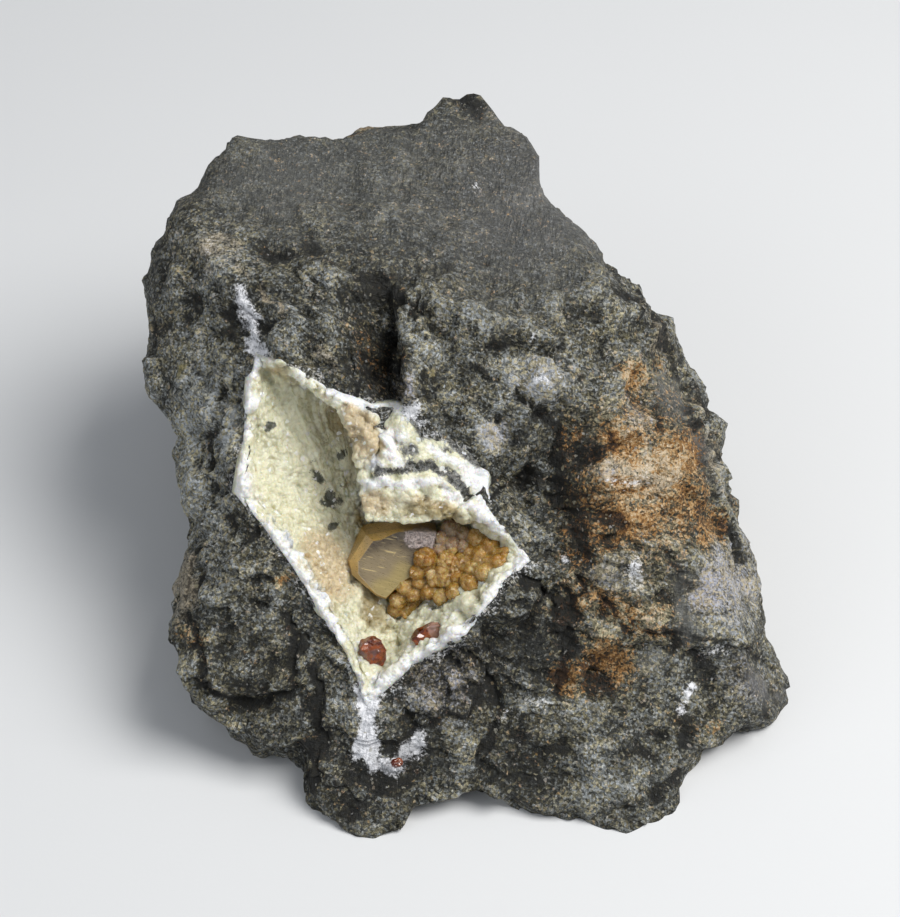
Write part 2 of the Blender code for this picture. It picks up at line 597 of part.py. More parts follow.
def back_stations(angle, grow):
    """The crust's hidden side against the rock, grown by a clearance where it cuts the rock."""
    outer, inner, under, overhang = pocket_shape(angle)
    thick = CRUST_THICKNESS + grow
    stretch = 1.0 + (LIP_THICKNESS + grow) / np.maximum(np.hypot(*under.T), 1.0)[:, None]
    stations = [(outward(angle, outer + grow), np.full(len(angle), EDGE_DROP))]
    for share, (slide, drop) in zip(BACK_WALL_SHARES, BACK_LIP_STEPS):
        reach = ring_reach(outer, share)
        seen = outward(angle, reach)
        lip_side = outward(angle, inner + 2.0 * grow) + under * stretch * slide
        depth = mixed(wall_depth(seen, outer - reach, thick), floor_depth(lip_side, thick) * drop, overhang)
        stations.append((mixed(seen, lip_side, overhang), depth))
    for share in BACK_FLOOR_SHARES:
        reach = ring_reach(outer, share)
        seen = outward(angle, reach)
        depth = mixed(wall_depth(seen, outer - reach, thick), floor_depth(seen, thick), overhang)
        stations.append((seen, depth))
    return stations


def ring_points(stations, angle):
    """Rings of points for (seen place, depth) stations, below a level carried across from the rim."""
    outer = outline_reach(CRUST_EDGE, POCKET_CENTRE, angle)
    rim = face_out(outward(angle, outer))
    rings = []
    for seen, depth in stations:
        share = np.clip(np.linalg.norm(seen - POCKET_CENTRE, axis=1) / outer, 0.0, 1.0) ** 2
        rings.append(behind(seen, rim * share + rim.mean() * (1.0 - share) - depth))
    return rings


def knobs(points):
    """Rounded knobs of the crust."""
    height = np.zeros(len(points))
    for size, rise, seed in CRUST_KNOBS:
        height += rise * (np.abs(swell(points, size, seed)) * KNOB_STAND - KNOB_SINK)
    return height


def close_rings(bm, rings):
    """A surface of quads through successive rings, ending in a fan to one point."""
    loops = [[bm.verts.new(point) for point in to_world(ring)] for ring in rings]
    for near, far in zip(loops, loops[1:]):
        for i in range(len(near)):
            j = (i + 1) % len(near)
            bm.faces.new((near[i], near[j], far[j], far[i]))
    tip = bm.verts.new(to_world(bottom_point(rings[-1])[None])[0])
    for i in range(len(loops[-1])):
        bm.faces.new((loops[-1][i], loops[-1][(i + 1) % len(loops[-1])], tip))


def knobbly(rings, lift):
    """The crust's open side with its knobs, which fade out at its outer edge."""
    made = []
    for number, ring in enumerate(rings):
        ring = ring.copy()
        ring[:, 2] += knobs(ring) * min(1.0, number / 2.0) + lift
        made.append(ring)
    return made


def bottom_point(last_ring):
    """A point at the middle of the last ring, a little lower."""
    return last_ring.mean(axis=0) - np.array([0.0, 0.0, TIP_DROP])


def crust_bmesh():
    """The crust: its knobbly open side and its plain back, sharing the outer edge."""
    angle = pocket_directions()
    front = knobbly(ring_points(front_stations(angle), angle), 0.0)
    back = ring_points(back_stations(angle, 0.0), angle)
    back[0] = front[0]
    bm = bmesh.new()
    close_rings(bm, front)
    close_rings(bm, back)
    bmesh.ops.remove_doubles(bm, verts=bm.verts, dist=SAME_POINT)
    return bm


def cup_bmesh(rings, rise):
    """A closed cup whose bowl is the rings, carried up or down from its edge by "rise" and capped flat."""
    edge = rings[0].copy()
    edge[:, 2] += rise
    bm = bmesh.new()
    close_rings(bm, [edge] + rings)
    bmesh.ops.holes_fill(bm, edges=[edge for edge in bm.edges if edge.is_boundary])
    return bm


def pocket_cutter_bmesh():
    """What is cut from the rock: the crust's back grown by the gap, open well above the face."""
    angle = pocket_directions()
    return cup_bmesh(ring_points(back_stations(angle, CRUST_CLEARANCE), angle), ABOVE_FACE)


def floor_cutter_bmesh():
    """What is cut from the crystals: everything below the crust's open side, with the gap added."""
    angle = pocket_directions()
    floor = knobbly(ring_points(front_stations(angle), angle), GAP * 1.5)
    return cup_bmesh(floor, -POCKET_DEPTH - BELOW_POCKET)


def crystal_bmesh(grow=0.0):
    """The leadhillite crystal: a thick plate with flaring sides, grown all round where it cuts the balls."""
    middle = np.array(CRYSTAL_MIDDLE)
    arm = np.array(CRYSTAL_TOP) - middle
    top = middle + arm * (1.0 + grow * ROOM_ROUND / np.linalg.norm(arm, axis=1))[:, None]
    out = CRYSTAL_OUT + grow + arm @ np.array(CRYSTAL_SLOPE)
    foot = middle + (top - middle) * CRYSTAL_FLARE + np.array(CRYSTAL_LEAN)
    bm = bmesh.new()
    upper = [bm.verts.new(point) for point in to_world(behind(top, out))]
    depth = CRYSTAL_DEPTH + ROOM_BELOW * grow
    lower = [bm.verts.new(point) for point in to_world(behind(foot, out - depth))]
    bm.faces.new(upper)
    bm.faces.new(lower)
    for i in range(len(upper)):
        j = (i + 1) % len(upper)
        bm.faces.new((upper[i], upper[j], lower[j], lower[i]))
    return bm


def ball_list():
    """All the amber balls: the large ones, and small ones on a spiral over the mound that carries them."""
    index = np.arange(SMALL_BALLS) + 0.5
    angle = index * GOLDEN_ANGLE
    share = np.sqrt(index / SMALL_BALLS)
    rise = np.sqrt(np.maximum(1.0 - share * share, 0.0))
    size = np.array(BALL_CORE_SIZE)
    offset = np.column_stack([share * np.cos(angle), share * np.sin(angle), rise]) * size
    spread = corner_value(np.column_stack([index, index, index]), 7)
    radius = SMALL_BALL_RADIUS + SMALL_BALL_SPREAD * spread
    return np.vstack([np.array(LARGE_BALLS), np.column_stack([offset + np.array(BALL_CORE), radius])])


def balls_bmesh():
    """The amber cluster: a dome of directions, each pushed out to the furthest ball it meets."""
    bm = bmesh.new()
    bmesh.ops.create_icosphere(bm, subdivisions=4, radius=1.0)
    direction = np.array([v.co for v in bm.verts])
    direction /= np.linalg.norm(direction, axis=1)[:, None]
    core = 1.0 / np.sqrt(((direction / (np.array(BALL_CORE_SIZE) * BALL_CORE_SHARE)) ** 2).sum(axis=1))
    reach = core
    for ball in ball_list():
        away = ball[:3] - np.array(BALL_CORE)
        along = direction @ away
        inside = along * along - away @ away + ball[3] ** 2
        hit = np.where(inside > 0.0, along + np.sqrt(np.maximum(inside, 0.0)), 0.0)
        reach = np.maximum(reach, hit)
    for vert, point in zip(bm.verts, to_world(np.array(BALL_CORE) + reach[:, None] * direction)):
        vert.co = point
    return bm


def red_crystal_bmesh(middle, size, turn):
    """A blunt faceted crystal: a cube with its corners and edges cut back, stretched and turned."""
    bm = bmesh.new()
    bmesh.ops.create_cube(bm, size=RED_CUBE)
    bmesh.ops.bevel(bm, geom=bm.edges[:], offset=RED_BEVEL, segments=1, affect="EDGES")
    c, s = math.cos(math.radians(turn)), math.sin(math.radians(turn))
    points = np.array([v.co for v in bm.verts]) * np.array(size)
    tipped = points @ np.array([[1.0, 0.0, 0.0], [0.0, c, s], [0.0, -s, c]])
    turned = tipped @ np.array([[c, s, 0.0], [-s, c, 0.0], [0.0, 0.0, 1.0]])
    for vert, point in zip(bm.verts, to_world(turned + np.array(middle))):
        vert.co = point
    return bm


def main():
    for obj in list(bpy.data.objects):
        bpy.data.objects.remove(obj)
    for name in MATERIALS:
        material(name)
    rock = add_object("matrix_rock", rock_bmesh(), "dark_rock")
    cut(rock, add_object("pocket_cutter", pocket_cutter_bmesh()))
    add_object("vug_crust", crust_bmesh(), "cream_crust")
    floor_cutter = add_object("floor_cutter", floor_cutter_bmesh())
    crystal = add_object("leadhillite_crystal", crystal_bmesh(), "smoky_crystal")
    cut(crystal, floor_cutter)
    balls = add_object("amber_balls", balls_bmesh(), "amber_mineral")
    cut(balls, floor_cutter)
    cut(balls, add_object("crystal_cutter", crystal_bmesh(GAP)))
    for name, (middle, size, turn) in RED_CRYSTALS.items():
        red = add_object(name, red_crystal_bmesh(middle, size, turn), "red_mineral")
        cut(red, floor_cutter)


main()
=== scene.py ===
"""Finishes for a leadhillite hand specimen: dark broken rock, a sparkling crystal crust and the crystals in it.

The rock's broken face leans back at 45 degrees and is described square on to it: "right", "up" and "out" are
millimetres to the right, up the slope and out of the face, from a point in the middle of the face. A "seen"
place is (right, up) where a point shows from the eye. World axes: +X right, +Y to the back, +Z up.
"""

import math

import bpy
import numpy as np
from bpy.props import FloatProperty, FloatVectorProperty, IntProperty, PointerProperty
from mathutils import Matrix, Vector


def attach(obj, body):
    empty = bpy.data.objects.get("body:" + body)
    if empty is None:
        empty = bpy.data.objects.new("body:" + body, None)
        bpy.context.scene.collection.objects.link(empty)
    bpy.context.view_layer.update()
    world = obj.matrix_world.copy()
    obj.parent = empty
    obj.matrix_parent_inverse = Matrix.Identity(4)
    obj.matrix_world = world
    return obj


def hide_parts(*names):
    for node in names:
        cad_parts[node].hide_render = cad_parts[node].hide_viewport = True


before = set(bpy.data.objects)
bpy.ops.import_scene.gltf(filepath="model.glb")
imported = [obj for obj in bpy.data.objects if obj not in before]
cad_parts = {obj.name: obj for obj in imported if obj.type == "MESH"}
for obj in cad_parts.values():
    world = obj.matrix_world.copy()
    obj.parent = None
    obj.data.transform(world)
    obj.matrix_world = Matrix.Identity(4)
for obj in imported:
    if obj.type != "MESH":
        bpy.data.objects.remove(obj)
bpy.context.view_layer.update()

bl_info = {
    "name": "Leadhillite Specimen",
    "version": (1, 0, 0),
    "blender": (4, 5, 0),
    "location": "3D View > Sidebar > Specimen",
    "description": "Makes the rock, crust and crystals of a leadhillite hand specimen, and a plain studio",
    "category": "Add Mesh",
}

MM = 0.001
TURN = 2.0 * math.pi

# The face: how it leans, where its middle is, and the distance it is looked at from
FACE_LEAN = math.radians(45.0)
FACE_MIDDLE = np.array([0.6, -8.6, 31.6])
EYE_DISTANCE = 250.0
FACE_RIGHT = np.array([1.0, 0.0, 0.0])
FACE_UP = np.array([0.0, math.sin(FACE_LEAN), math.cos(FACE_LEAN)])
FACE_OUT = np.array([0.0, -math.cos(FACE_LEAN), math.sin(FACE_LEAN)])
FACE_AXES = np.array([FACE_RIGHT, FACE_UP, FACE_OUT])

# The rock's outline seen square on to the face: (right, up), anticlockwise from the right-hand side
ROCK_OUTLINE = [
    (33.6, -1.2), (32.8, 4.0), (31.4, 5.3), (29.0, 8.2), (27.3, 10.3), (26.2, 13.2), (25.3, 16.0),
    (22.6, 18.6), (20.6, 20.5), (18.4, 22.2), (16.2, 25.0), (13.8, 27.7), (11.3, 30.6), (10.4, 32.0),
    (10.4, 35.2), (9.0, 37.4), (5.6, 40.2), (3.6, 43.0), (1.2, 44.6), (-1.2, 42.4), (-3.4, 40.0),
    (-6.6, 39.2), (-8.8, 39.1), (-11.8, 38.4), (-16.4, 37.9), (-21.0, 37.1), (-26.8, 37.6), (-28.6, 35.6),
    (-29.3, 32.2), (-32.0, 28.6), (-34.9, 24.8), (-35.6, 20.0), (-35.2, 14.6), (-35.3, 10.4), (-34.4, 6.4),
    (-32.7, 2.2), (-32.6, -1.4), (-32.0, -4.8), (-31.1, -8.2), (-32.4, -12.4), (-33.8, -16.8),
    (-32.9, -21.0), (-30.6, -24.0), (-30.5, -27.0), (-29.8, -30.0), (-28.6, -31.5), (-26.6, -32.6),
    (-23.2, -34.9), (-19.0, -35.1), (-17.6, -36.6), (-17.0, -40.4), (-14.4, -42.6), (-11.8, -43.9),
    (-8.6, -44.0), (-5.6, -43.2), (-4.3, -41.2), (-1.8, -40.5), (2.4, -40.0), (6.0, -40.2),
    (9.8, -42.3), (14.8, -43.1), (19.4, -44.6), (22.4, -44.5),
    (25.2, -42.9), (27.2, -40.3), (28.0, -37.4), (29.8, -34.6), (32.6, -32.8), (34.9, -31.4), (37.4, -31.3),
    (40.0, -29.6), (40.4, -27.2), (38.8, -24.4), (37.2, -21.2), (36.9, -17.2), (35.9, -12.6), (34.8, -8.2),
]
OUTLINE_CENTRE = np.array([1.2, -1.4])

# How far out of the face the widest part of the rock lies, by compass direction on the face in degrees
WIDEST_OUT = [
    (0, -20.0), (45, -18.0), (90, -21.0), (150, -18.0), (185, -12.0), (230, -4.0), (270, 1.0), (325, -9.0),
]
# The sides draw in by this share, this far before and behind the widest part
BARREL = 0.15
BARREL_LENGTH = 40.0
BARREL_LIMIT = 1.5
FURTHEST_SIDE = 90.0

# Broken facets of the face: (right, up, out) of a point, then how fast "out" changes to the right and up
FACE_FACETS = {
    "middle": (0.0, -6.0, 1.0, -0.02, 0.03),
    "top_slab": (0.0, 17.5, 0.6, 0.03, -0.80),
    "left_flank": (-24.5, 2.0, 0.2, 0.80, -0.12),
    "lower_left": (-20.0, -25.0, 1.4, 0.30, 0.14),
    "right_shoulder": (17.0, 0.0, 1.4, -0.46, -0.20),
    "right_edge": (30.4, -2.0, -5.2, -2.0, -0.50),
    "lower_right": (22.0, -26.0, 0.4, -0.36, 0.10),
    "foot": (8.0, -38.0, 3.2, -0.02, 0.55),
}

# Facets out of sight: (towards X, towards Y, towards Z, distance from the rock's centre)
HIDDEN_FACETS = [
    (0.05, 1.00, 0.12, 40.0),
    (-0.60, 0.76, 0.26, 46.5),
    (0.70, 0.70, 0.15, 42.0),
    (-0.25, 0.75, 0.61, 49.0),
    (0.45, 0.70, 0.56, 45.0),
    (-0.90, 0.10, -0.42, 34.0),
    (0.90, 0.20, -0.38, 40.0),
    (0.08, 0.80, -0.60, 33.0),
]
FACET_SOFTNESS = 0.9
NEARLY_ALONG = 1e-3
OUT_OF_REACH = 500.0

# Ledges that show past the main block: (compass direction, half width, set back, top out of the face)
LEDGES = [(8.0, 25.0, 3.0, -12.0), (199.0, 13.0, 2.4, -13.5)]
LEDGE_REACH = 36.0
LEDGE_TILT = 0.25
LEDGE_ENDS = 1.6
LEDGE_FAINT = 0.02

# Lumps (+) and hollows (-) on the face: right, up, half width, half length, turn in degrees, height
FACE_LUMPS = {
    "dark_pit": (-9.2, 13.2, 2.9, 4.8, 24, -6.0),
    "pit_streaks": (-7.6, 8.6, 1.8, 3.0, 24, -2.2),
    "valley": (12.6, -3.0, 3.4, 10.0, -14, -2.2),
    "orange_ridge": (18.8, 1.0, 3.2, 11.0, -8, 1.4),
    "ridge_foot": (17.5, -24.0, 4.0, 3.5, 0, 1.2),
    "purple_block": (-1.6, -25.2, 4.6, 3.4, 18, -1.3),
    "boulder": (-25.8, -24.6, 4.6, 3.8, 10, 2.4),
    "boulder_crack": (-23.8, -30.0, 4.6, 1.8, 12, -1.6),
    "lobe_crease": (-14.8, -30.0, 2.0, 6.5, -4, -1.6),
    "left_lobe": (-9.4, -38.5, 4.0, 3.6, 0, 1.6),
    "right_lobe": (19.6, -39.0, 5.0, 4.0, 0, 1.8),
    "right_horn": (36.5, -28.4, 3.0, 2.6, 0, 1.2),
    "left_dimple": (-31.0, 4.0, 2.0, 3.0, 0, -1.2),
    "top_chip": (-7.8, 33.5, 1.6, 4.4, 12, -1.4),
    "top_rise": (2.0, 36.0, 4.0, 4.2, 0, 1.2),
    "shoulder_scarp": (22.5, 12.0, 2.0, 6.0, 38, -1.2),
    "lower_ledge": (22.0, -28.6, 6.0, 2.4, 8, -1.2),
}

# How steeply lumps, patches and bands end: 1 is a plain bell shape, and more has a flatter middle
LUMP_EDGE = 1.4
PATCH_EDGE = 1.5
BAND_EDGE = 1.3
# The lumps fade out where the surface turns away from the face
LUMP_FADE = 2.5
LUMP_FADE_START = 0.6

# Lumps (+) and hollows (-) out of sight: world place, radius, height
HIDDEN_LUMPS = {
    "arch_between_lobes": (2.0, -31.0, -6.0, 6.5, -4.0),
    "back_hollow": (-12.0, 36.0, 24.0, 9.0, -2.6),
    "back_knob": (16.0, 36.0, 14.0, 8.0, 2.2),
    "left_hollow": (-33.0, 14.0, 12.0, 8.0, -2.2),
    "right_hollow": (36.0, 8.0, 14.0, 8.0, -2.4),
    "left_toe": (-30.0, -16.0, 3.0, 7.0, -2.0),
}

# Unevenness of broken rock: size, height and seed of rounded swells and of flat chips
SWELLS = [(17.0, 1.7, 3), (8.0, 0.9, 11), (4.0, 0.45, 23)]
CHIPS = [(10.5, 1.5, 5), (5.2, 0.7, 17)]
CHIP_SHARPNESS = 9.0
CHIP_TILT = 1.6
CHIP_STEP = 0.35
# The sides are this much smoother than the face and the back: share, and where the sides begin and blend
SIDE_CALM = 0.45
SIDE_LIMIT = 0.62
SIDE_BLEND = 0.3
# The same for the finest unevenness
FINE_SIDE_CALM = 0.5
# Finer unevenness, which only the finished rock has
FINE_CHIPS = [(6.0, 1.15, 59), (3.0, 0.62, 61)]
FINE_CHIP_SHARPNESS = 17.0
FINE_SWELLS = [(1.9, 0.14, 71), (1.0, 0.10, 73)]
# Flakes of the rock's grain: size, height, seed, the way they run on the face in degrees, and how drawn out
FLAKES = [(2.0, 0.46, 91, -14.0, 3.0), (1.1, 0.22, 97, -8.0, 3.0)]
# Streaks of the smooth slabs, in the same form
SLAB_STREAKS = [(0.9, 0.30, 101, 80.0, 8.0), (4.2, 0.70, 107, 72.0, 3.0)]
# Cracks that wander at random: size of the wander, depth, width as a share of it, seed
STRAY_CRACKS = [(7.0, 0.45, 0.035, 81)]
# Creases darkened with painted shade: over which depth they darken, where that begins, and the share of the
# chips' hollows in them
CREASE_DEPTH = 0.55
CREASE_START = 0.15
CREASE_BY_CHIPS = 0.45
# The smooth slabs have this much less of the chips and of the cracks
CALM_CHIPS = 0.5
CALM_CRACKS = 0.6
# The unevenness falls to this share beside the crust, over this many millimetres
LEAST_NEAR_RIM = 0.3
NEAR_RIM = 3.0
# How far out of the face the patterns drawn on it end, and the length over which they fade
PATTERN_END = -26.0
PATTERN_FADE = 8.0

# Cracks seen in the face: half width, depth, and the places (right, up) that they run through
CRACKS = [
    (0.40, 0.9, [
        (-17.6, 21.5), (-12.3, 18.8), (-9.0, 19.6), (-5.8, 18.6), (-1.0, 17.2), (5.9, 13.1), (13.0, 13.4)]),
    (0.60, 0.9, [(8.3, 7.6), (13.0, 3.5), (12.4, -2.4), (15.3, -7.5), (16.5, -11.8), (14.2, -17.7)]),
    (0.55, 1.0, [(8.2, -13.4), (12.6, -17.2), (14.2, -22.5), (12.8, -27.4)]),
    (0.50, 1.1, [
        (-29.9, -20.8), (-28.6, -27.2), (-23.5, -28.8), (-18.8, -27.4), (-17.6, -22.5), (-19.8, -18.9)]),
    (0.65, 1.3, [(-16.0, -24.4), (-15.3, -33.0), (-16.8, -39.4)]),
    (0.50, 1.0, [(0.9, -21.8), (4.4, -24.8), (5.6, -29.5), (3.5, -35.4)]),
    (0.40, 0.8, [(17.8, -16.6), (20.4, -19.6), (28.4, -20.6), (34.2, -21.8), (38.4, -25.4)]),
    (0.35, 0.8, [(22.5, 18.8), (25.8, 13.5), (27.6, 8.0), (30.6, -1.2), (32.6, -9.5)]),
    (0.40, 0.7, [(24.8, -10.4), (27.2, -13.6), (28.0, -18.2), (26.0, -22.2)]),
    (0.35, 0.6, [(-27.6, 20.4), (-25.6, 15.0), (-26.2, 8.0), (-28.2, 1.8), (-27.6, -5.4)]),
    (0.45, 0.8, [(-4.6, -29.8), (-2.0, -31.0), (2.4, -29.6), (4.4, -26.2)]),
    (0.35, 0.6, [(2.6, 10.8), (6.0, 8.6), (7.4, 5.4), (5.0, 4.4), (1.8, 5.0)]),
]
# Scarps seen in the face: width, rise of the side to the right of the line, fade, and the line's (right, up)
SCARPS = [
    (0.35, 3.4, 3.6, [(-5.4, 7.4), (-5.9, 10.6), (-6.0, 14.6), (-6.8, 18.4)]),
    (0.35, 1.0, 4.0, [
        (22.4, 16.0), (12.6, 13.8), (5.9, 13.6), (-1.0, 17.6), (-5.8, 19.0), (-12.3, 19.2), (-17.6, 21.8)]),
    (0.45, 1.1, 4.0, [(16.6, -13.4), (16.2, -7.0), (17.4, 0.2), (17.2, 6.6), (19.4, 10.6)]),
    (0.40, 1.5, 3.0, [(32.4, -8.6), (30.6, -0.8), (27.4, 8.2), (24.4, 16.2)]),
    (0.40, 1.0, 3.0, [(33.6, -22.0), (26.6, -21.2), (19.8, -21.6), (14.6, -20.4)]),
    (0.35, 0.8, 2.4, [(-29.6, -14.6), (-24.6, -16.6), (-21.4, -14.8)]),
    (0.30, 0.8, 2.0, [(-7.6, 33.8), (-6.4, 30.4), (-6.2, 28.4)]),
]
SCARP_END = 1.5

CENTRE_OUT = -20.0
HALVINGS = 16
# Where the ground is looked for on the flat map of directions: nearest and furthest, and how many more halvings
GROUND_NEAREST = 0.3
GROUND_FURTHEST = 9.0
GROUND_HALVINGS = HALVINGS + 4
# The rays are even all the way round from this share of their length on
EVEN_FROM = 0.6
# Rings of the underside, as shares of the way out from its middle
UNDERSIDE_SHARES = np.array([0.985, 0.95, 0.88, 0.78, 0.66, 0.52, 0.36, 0.18])
# The underside's hollows: height, then size and seed, and how fast they begin inside its edge
UNDERSIDE_RISE = 0.25
UNDERSIDE_SWELL = (6.0, 401)
UNDERSIDE_EDGE = 8.0

# The pocket: outer edge of its crust on the face, anticlockwise from the right-hand tip, as (right, up)
POCKET_CENTRE = np.array([-11.8, -10.2])
CRUST_EDGE = [
    (9.6, -12.1), (7.3, -8.6), (5.0, -6.2), (4.4, -3.8), (4.4, -1.6), (2.2, 0.6), (-1.2, 3.2), (-4.4, 5.5),
    (-6.6, 6.6), (-9.2, 6.2), (-11.8, 7.4), (-14.2, 8.4), (-17.1, 10.0), (-20.1, 11.9), (-23.0, 12.8),
    (-23.9, 9.2), (-24.2, 5.2), (-24.5, 1.2), (-25.3, -4.1), (-22.1, -8.0), (-18.6, -12.8), (-14.8, -19.0),
    (-13.0, -21.6), (-11.2, -25.4), (-9.9, -29.2), (-6.8, -26.7), (-4.2, -24.2), (-1.2, -22.2), (2.0, -20.8),
    (3.5, -18.5), (5.6, -16.4), (6.9, -14.1),
]
# Inner edge of the rim, and of the lip that overhangs the pocket at its upper right
CRUST_LIP = [
    (7.8, -11.6), (6.3, -10.4), (3.4, -7.5), (0.5, -6.9), (-3.7, -7.4), (-7.8, -7.4), (-9.5, -7.0),
    (-10.4, -3.8), (-10.3, -1.4), (-10.9, 0.5), (-11.6, 2.5), (-12.4, 4.2), (-13.0, 5.7), (-15.3, 7.4),
    (-16.9, 8.9), (-18.9, 10.4), (-22.0, 10.9), (-22.7, 6.0), (-23.1, 0.4), (-23.3, -4.3), (-20.4, -8.2),
    (-17.0, -13.0), (-13.6, -18.9), (-11.6, -22.0), (-10.3, -25.4), (-9.3, -27.0), (-7.6, -25.2),
    (-4.8, -22.4), (-2.0, -20.6), (0.9, -19.2), (2.6, -16.8), (5.0, -14.2), (6.0, -12.6),
]
NARROWEST_RIM = 0.9
# Directions in which the lip's edge is measured, to space its points evenly
EDGE_SAMPLES = 3601
POCKET_DEPTH = 9.0
CRUST_THICKNESS = 1.8
LIP_THICKNESS = 1.0
WALL_SOFTNESS = 1.5
WALL_STRETCH = 1.3
# Flat walls of the pocket: (right, up) of a point on the rim, compass direction into the pocket, steepness
POCKET_WALLS = {
    "left_slab": (-24.4, 5.0, -2, 0.66),
    "lower_left": (-19.8, -11.5, 33, 0.86),
    "lower_right": (-1.0, -21.2, 133, 1.45),
    "right_end": (7.0, -11.0, 178, 1.50),
}
# The wall under its top edge, in the same form
TOP_WALL = (-17.0, 9.6, 247, 5.0)
RIM_STEEPNESS = 4.5
RIM_SHOULDER = 1.3
# How far the wall runs back under the lip, by compass direction: to the right and up
UNDERCUT = [
    (0, 0.0, 0.0), (12, 0.0, 0.6), (24, 0.3, 1.7), (40, 0.9, 1.9), (62, 1.4, 1.6), (78, 1.9, 1.0),
    (96, 1.8, 0.6), (106, 0.7, 0.7), (116, 0.0, 0.3), (124, 0.0, 0.0), (350, 0.0, 0.0),
]
FULL_UNDERCUT = 1.2
# Rings of the crust from its edge inwards: across the rim, down the wall and over the floor
RIM_SHARES = [0.0, 0.25, 0.55, 0.8, 1.0]
EDGE_DROP = 0.1
RIM_RISE = 0.45
RIM_DROP = 0.3
WALL_SHARES = [0.97, 0.93, 0.87, 0.80, 0.72]
FLOOR_SHARES = [0.63, 0.53, 0.43, 0.33, 0.22, 0.11]
BACK_WALL_SHARES = [0.95, 0.86, 0.76, 0.66]
BACK_FLOOR_SHARES = [0.5, 0.34, 0.17]
# Steps down the wall under the lip: share of the undercut, share of the depth
LIP_STEPS = [(0.3, 0.14), (0.8, 0.34), (1.0, 0.56), (0.7, 0.78), (0.2, 0.92)]
BACK_LIP_STEPS = [(0.6, 0.2), (1.0, 0.5), (1.0, 0.8), (0.75, 1.0)]
CRUST_KNOBS = [(4.2, 0.55, 31), (2.2, 0.30, 47)]
# A knob's height and the level that it rises from, as shares of its nominal height
KNOB_HEIGHT = 1.6
KNOB_LEVEL = 0.5
# The rock's hole is this much roomier than the crust's back, and its edge is tucked in under the crust's rim
HOLE_ROOM = 0.35
HOLE_TUCK = 0.5

# The leadhillite crystal: corners of its top face, right and up, clockwise, and the lie of the face
CRYSTAL_TOP = [
    (-9.9, -9.0), (-6.0, -8.3), (-1.6, -8.7), (-2.2, -12.6), (-5.6, -14.6), (-7.6, -16.6), (-8.7, -16.2),
    (-11.5, -13.8), (-11.9, -12.2),
]
CRYSTAL_MIDDLE = np.array([-6.5, -12.0])
CRYSTAL_OUT = -2.8
CRYSTAL_SLOPE = np.array([-0.10, 0.14])
CRYSTAL_FLARE = 1.07
CRYSTAL_LEAN = np.array([-0.5, 0.9])
CRYSTAL_DEPTH = 5.2

# The bevel round its top: share of the way in and depth, by compass direction; wide on the upper left
BEVEL_SHARES = [
    (0, 0.04), (60, 0.05), (95, 0.14), (125, 0.27), (180, 0.22), (205, 0.12), (235, 0.05), (300, 0.04),
]
BEVEL_DROPS = [
    (0, 0.35), (60, 0.35), (95, 0.60), (125, 0.95), (180, 0.95), (205, 0.60), (235, 0.35), (300, 0.35),
]
CRYSTAL_EDGE_POINTS = 44
CRYSTAL_TOP_RINGS = np.concatenate([np.linspace(0.02, 0.985, 44), [1.0, 1.0]])
CRYSTAL_BEVEL_RINGS = (0.06, 0.35, 0.65, 0.94, 1.0)
CRYSTAL_SIDE_RINGS = np.concatenate([[0.02], np.linspace(0.1, 1.0, 12)])
# How much of its depth the bevel takes up
BEVEL_TAKES = 0.8
# How honey-coloured its sides are, against 1 on the bevel
SIDE_HONEY = 0.8
# Steps of growth across the top: the way across them, how many in a millimetre, depth, and how far they wander
GROOVES_ACROSS = np.array([0.36, 0.93])
GROOVE_COUNT = 2.2
GROOVE_DEPTH = 0.05
GROOVE_WANDER = 0.6
CRYSTAL_PATCHES = {
    "druse": [(-3.2, -9.4, 2.4, 1.3, -16, 1.3), (-1.8, -10.8, 0.8, 1.4, 0, 0.9)],
    "pale": [(-8.6, -13.4, 3.0, 2.6, -20, 0.9), (-6.0, -11.4, 2.0, 1.2, -30, 0.4)],
    "tip": [(-7.4, -16.0, 2.4, 2.0, -30, 1.1), (-5.4, -13.6, 1.6, 2.0, 30, 0.8)],
}

# The mauve grains on its corner: how high they stand, how wide they are and the level they rise from
DRUSE_RISE = 0.55
DRUSE_BEAD = 0.85
DRUSE_LEVEL = 0.2
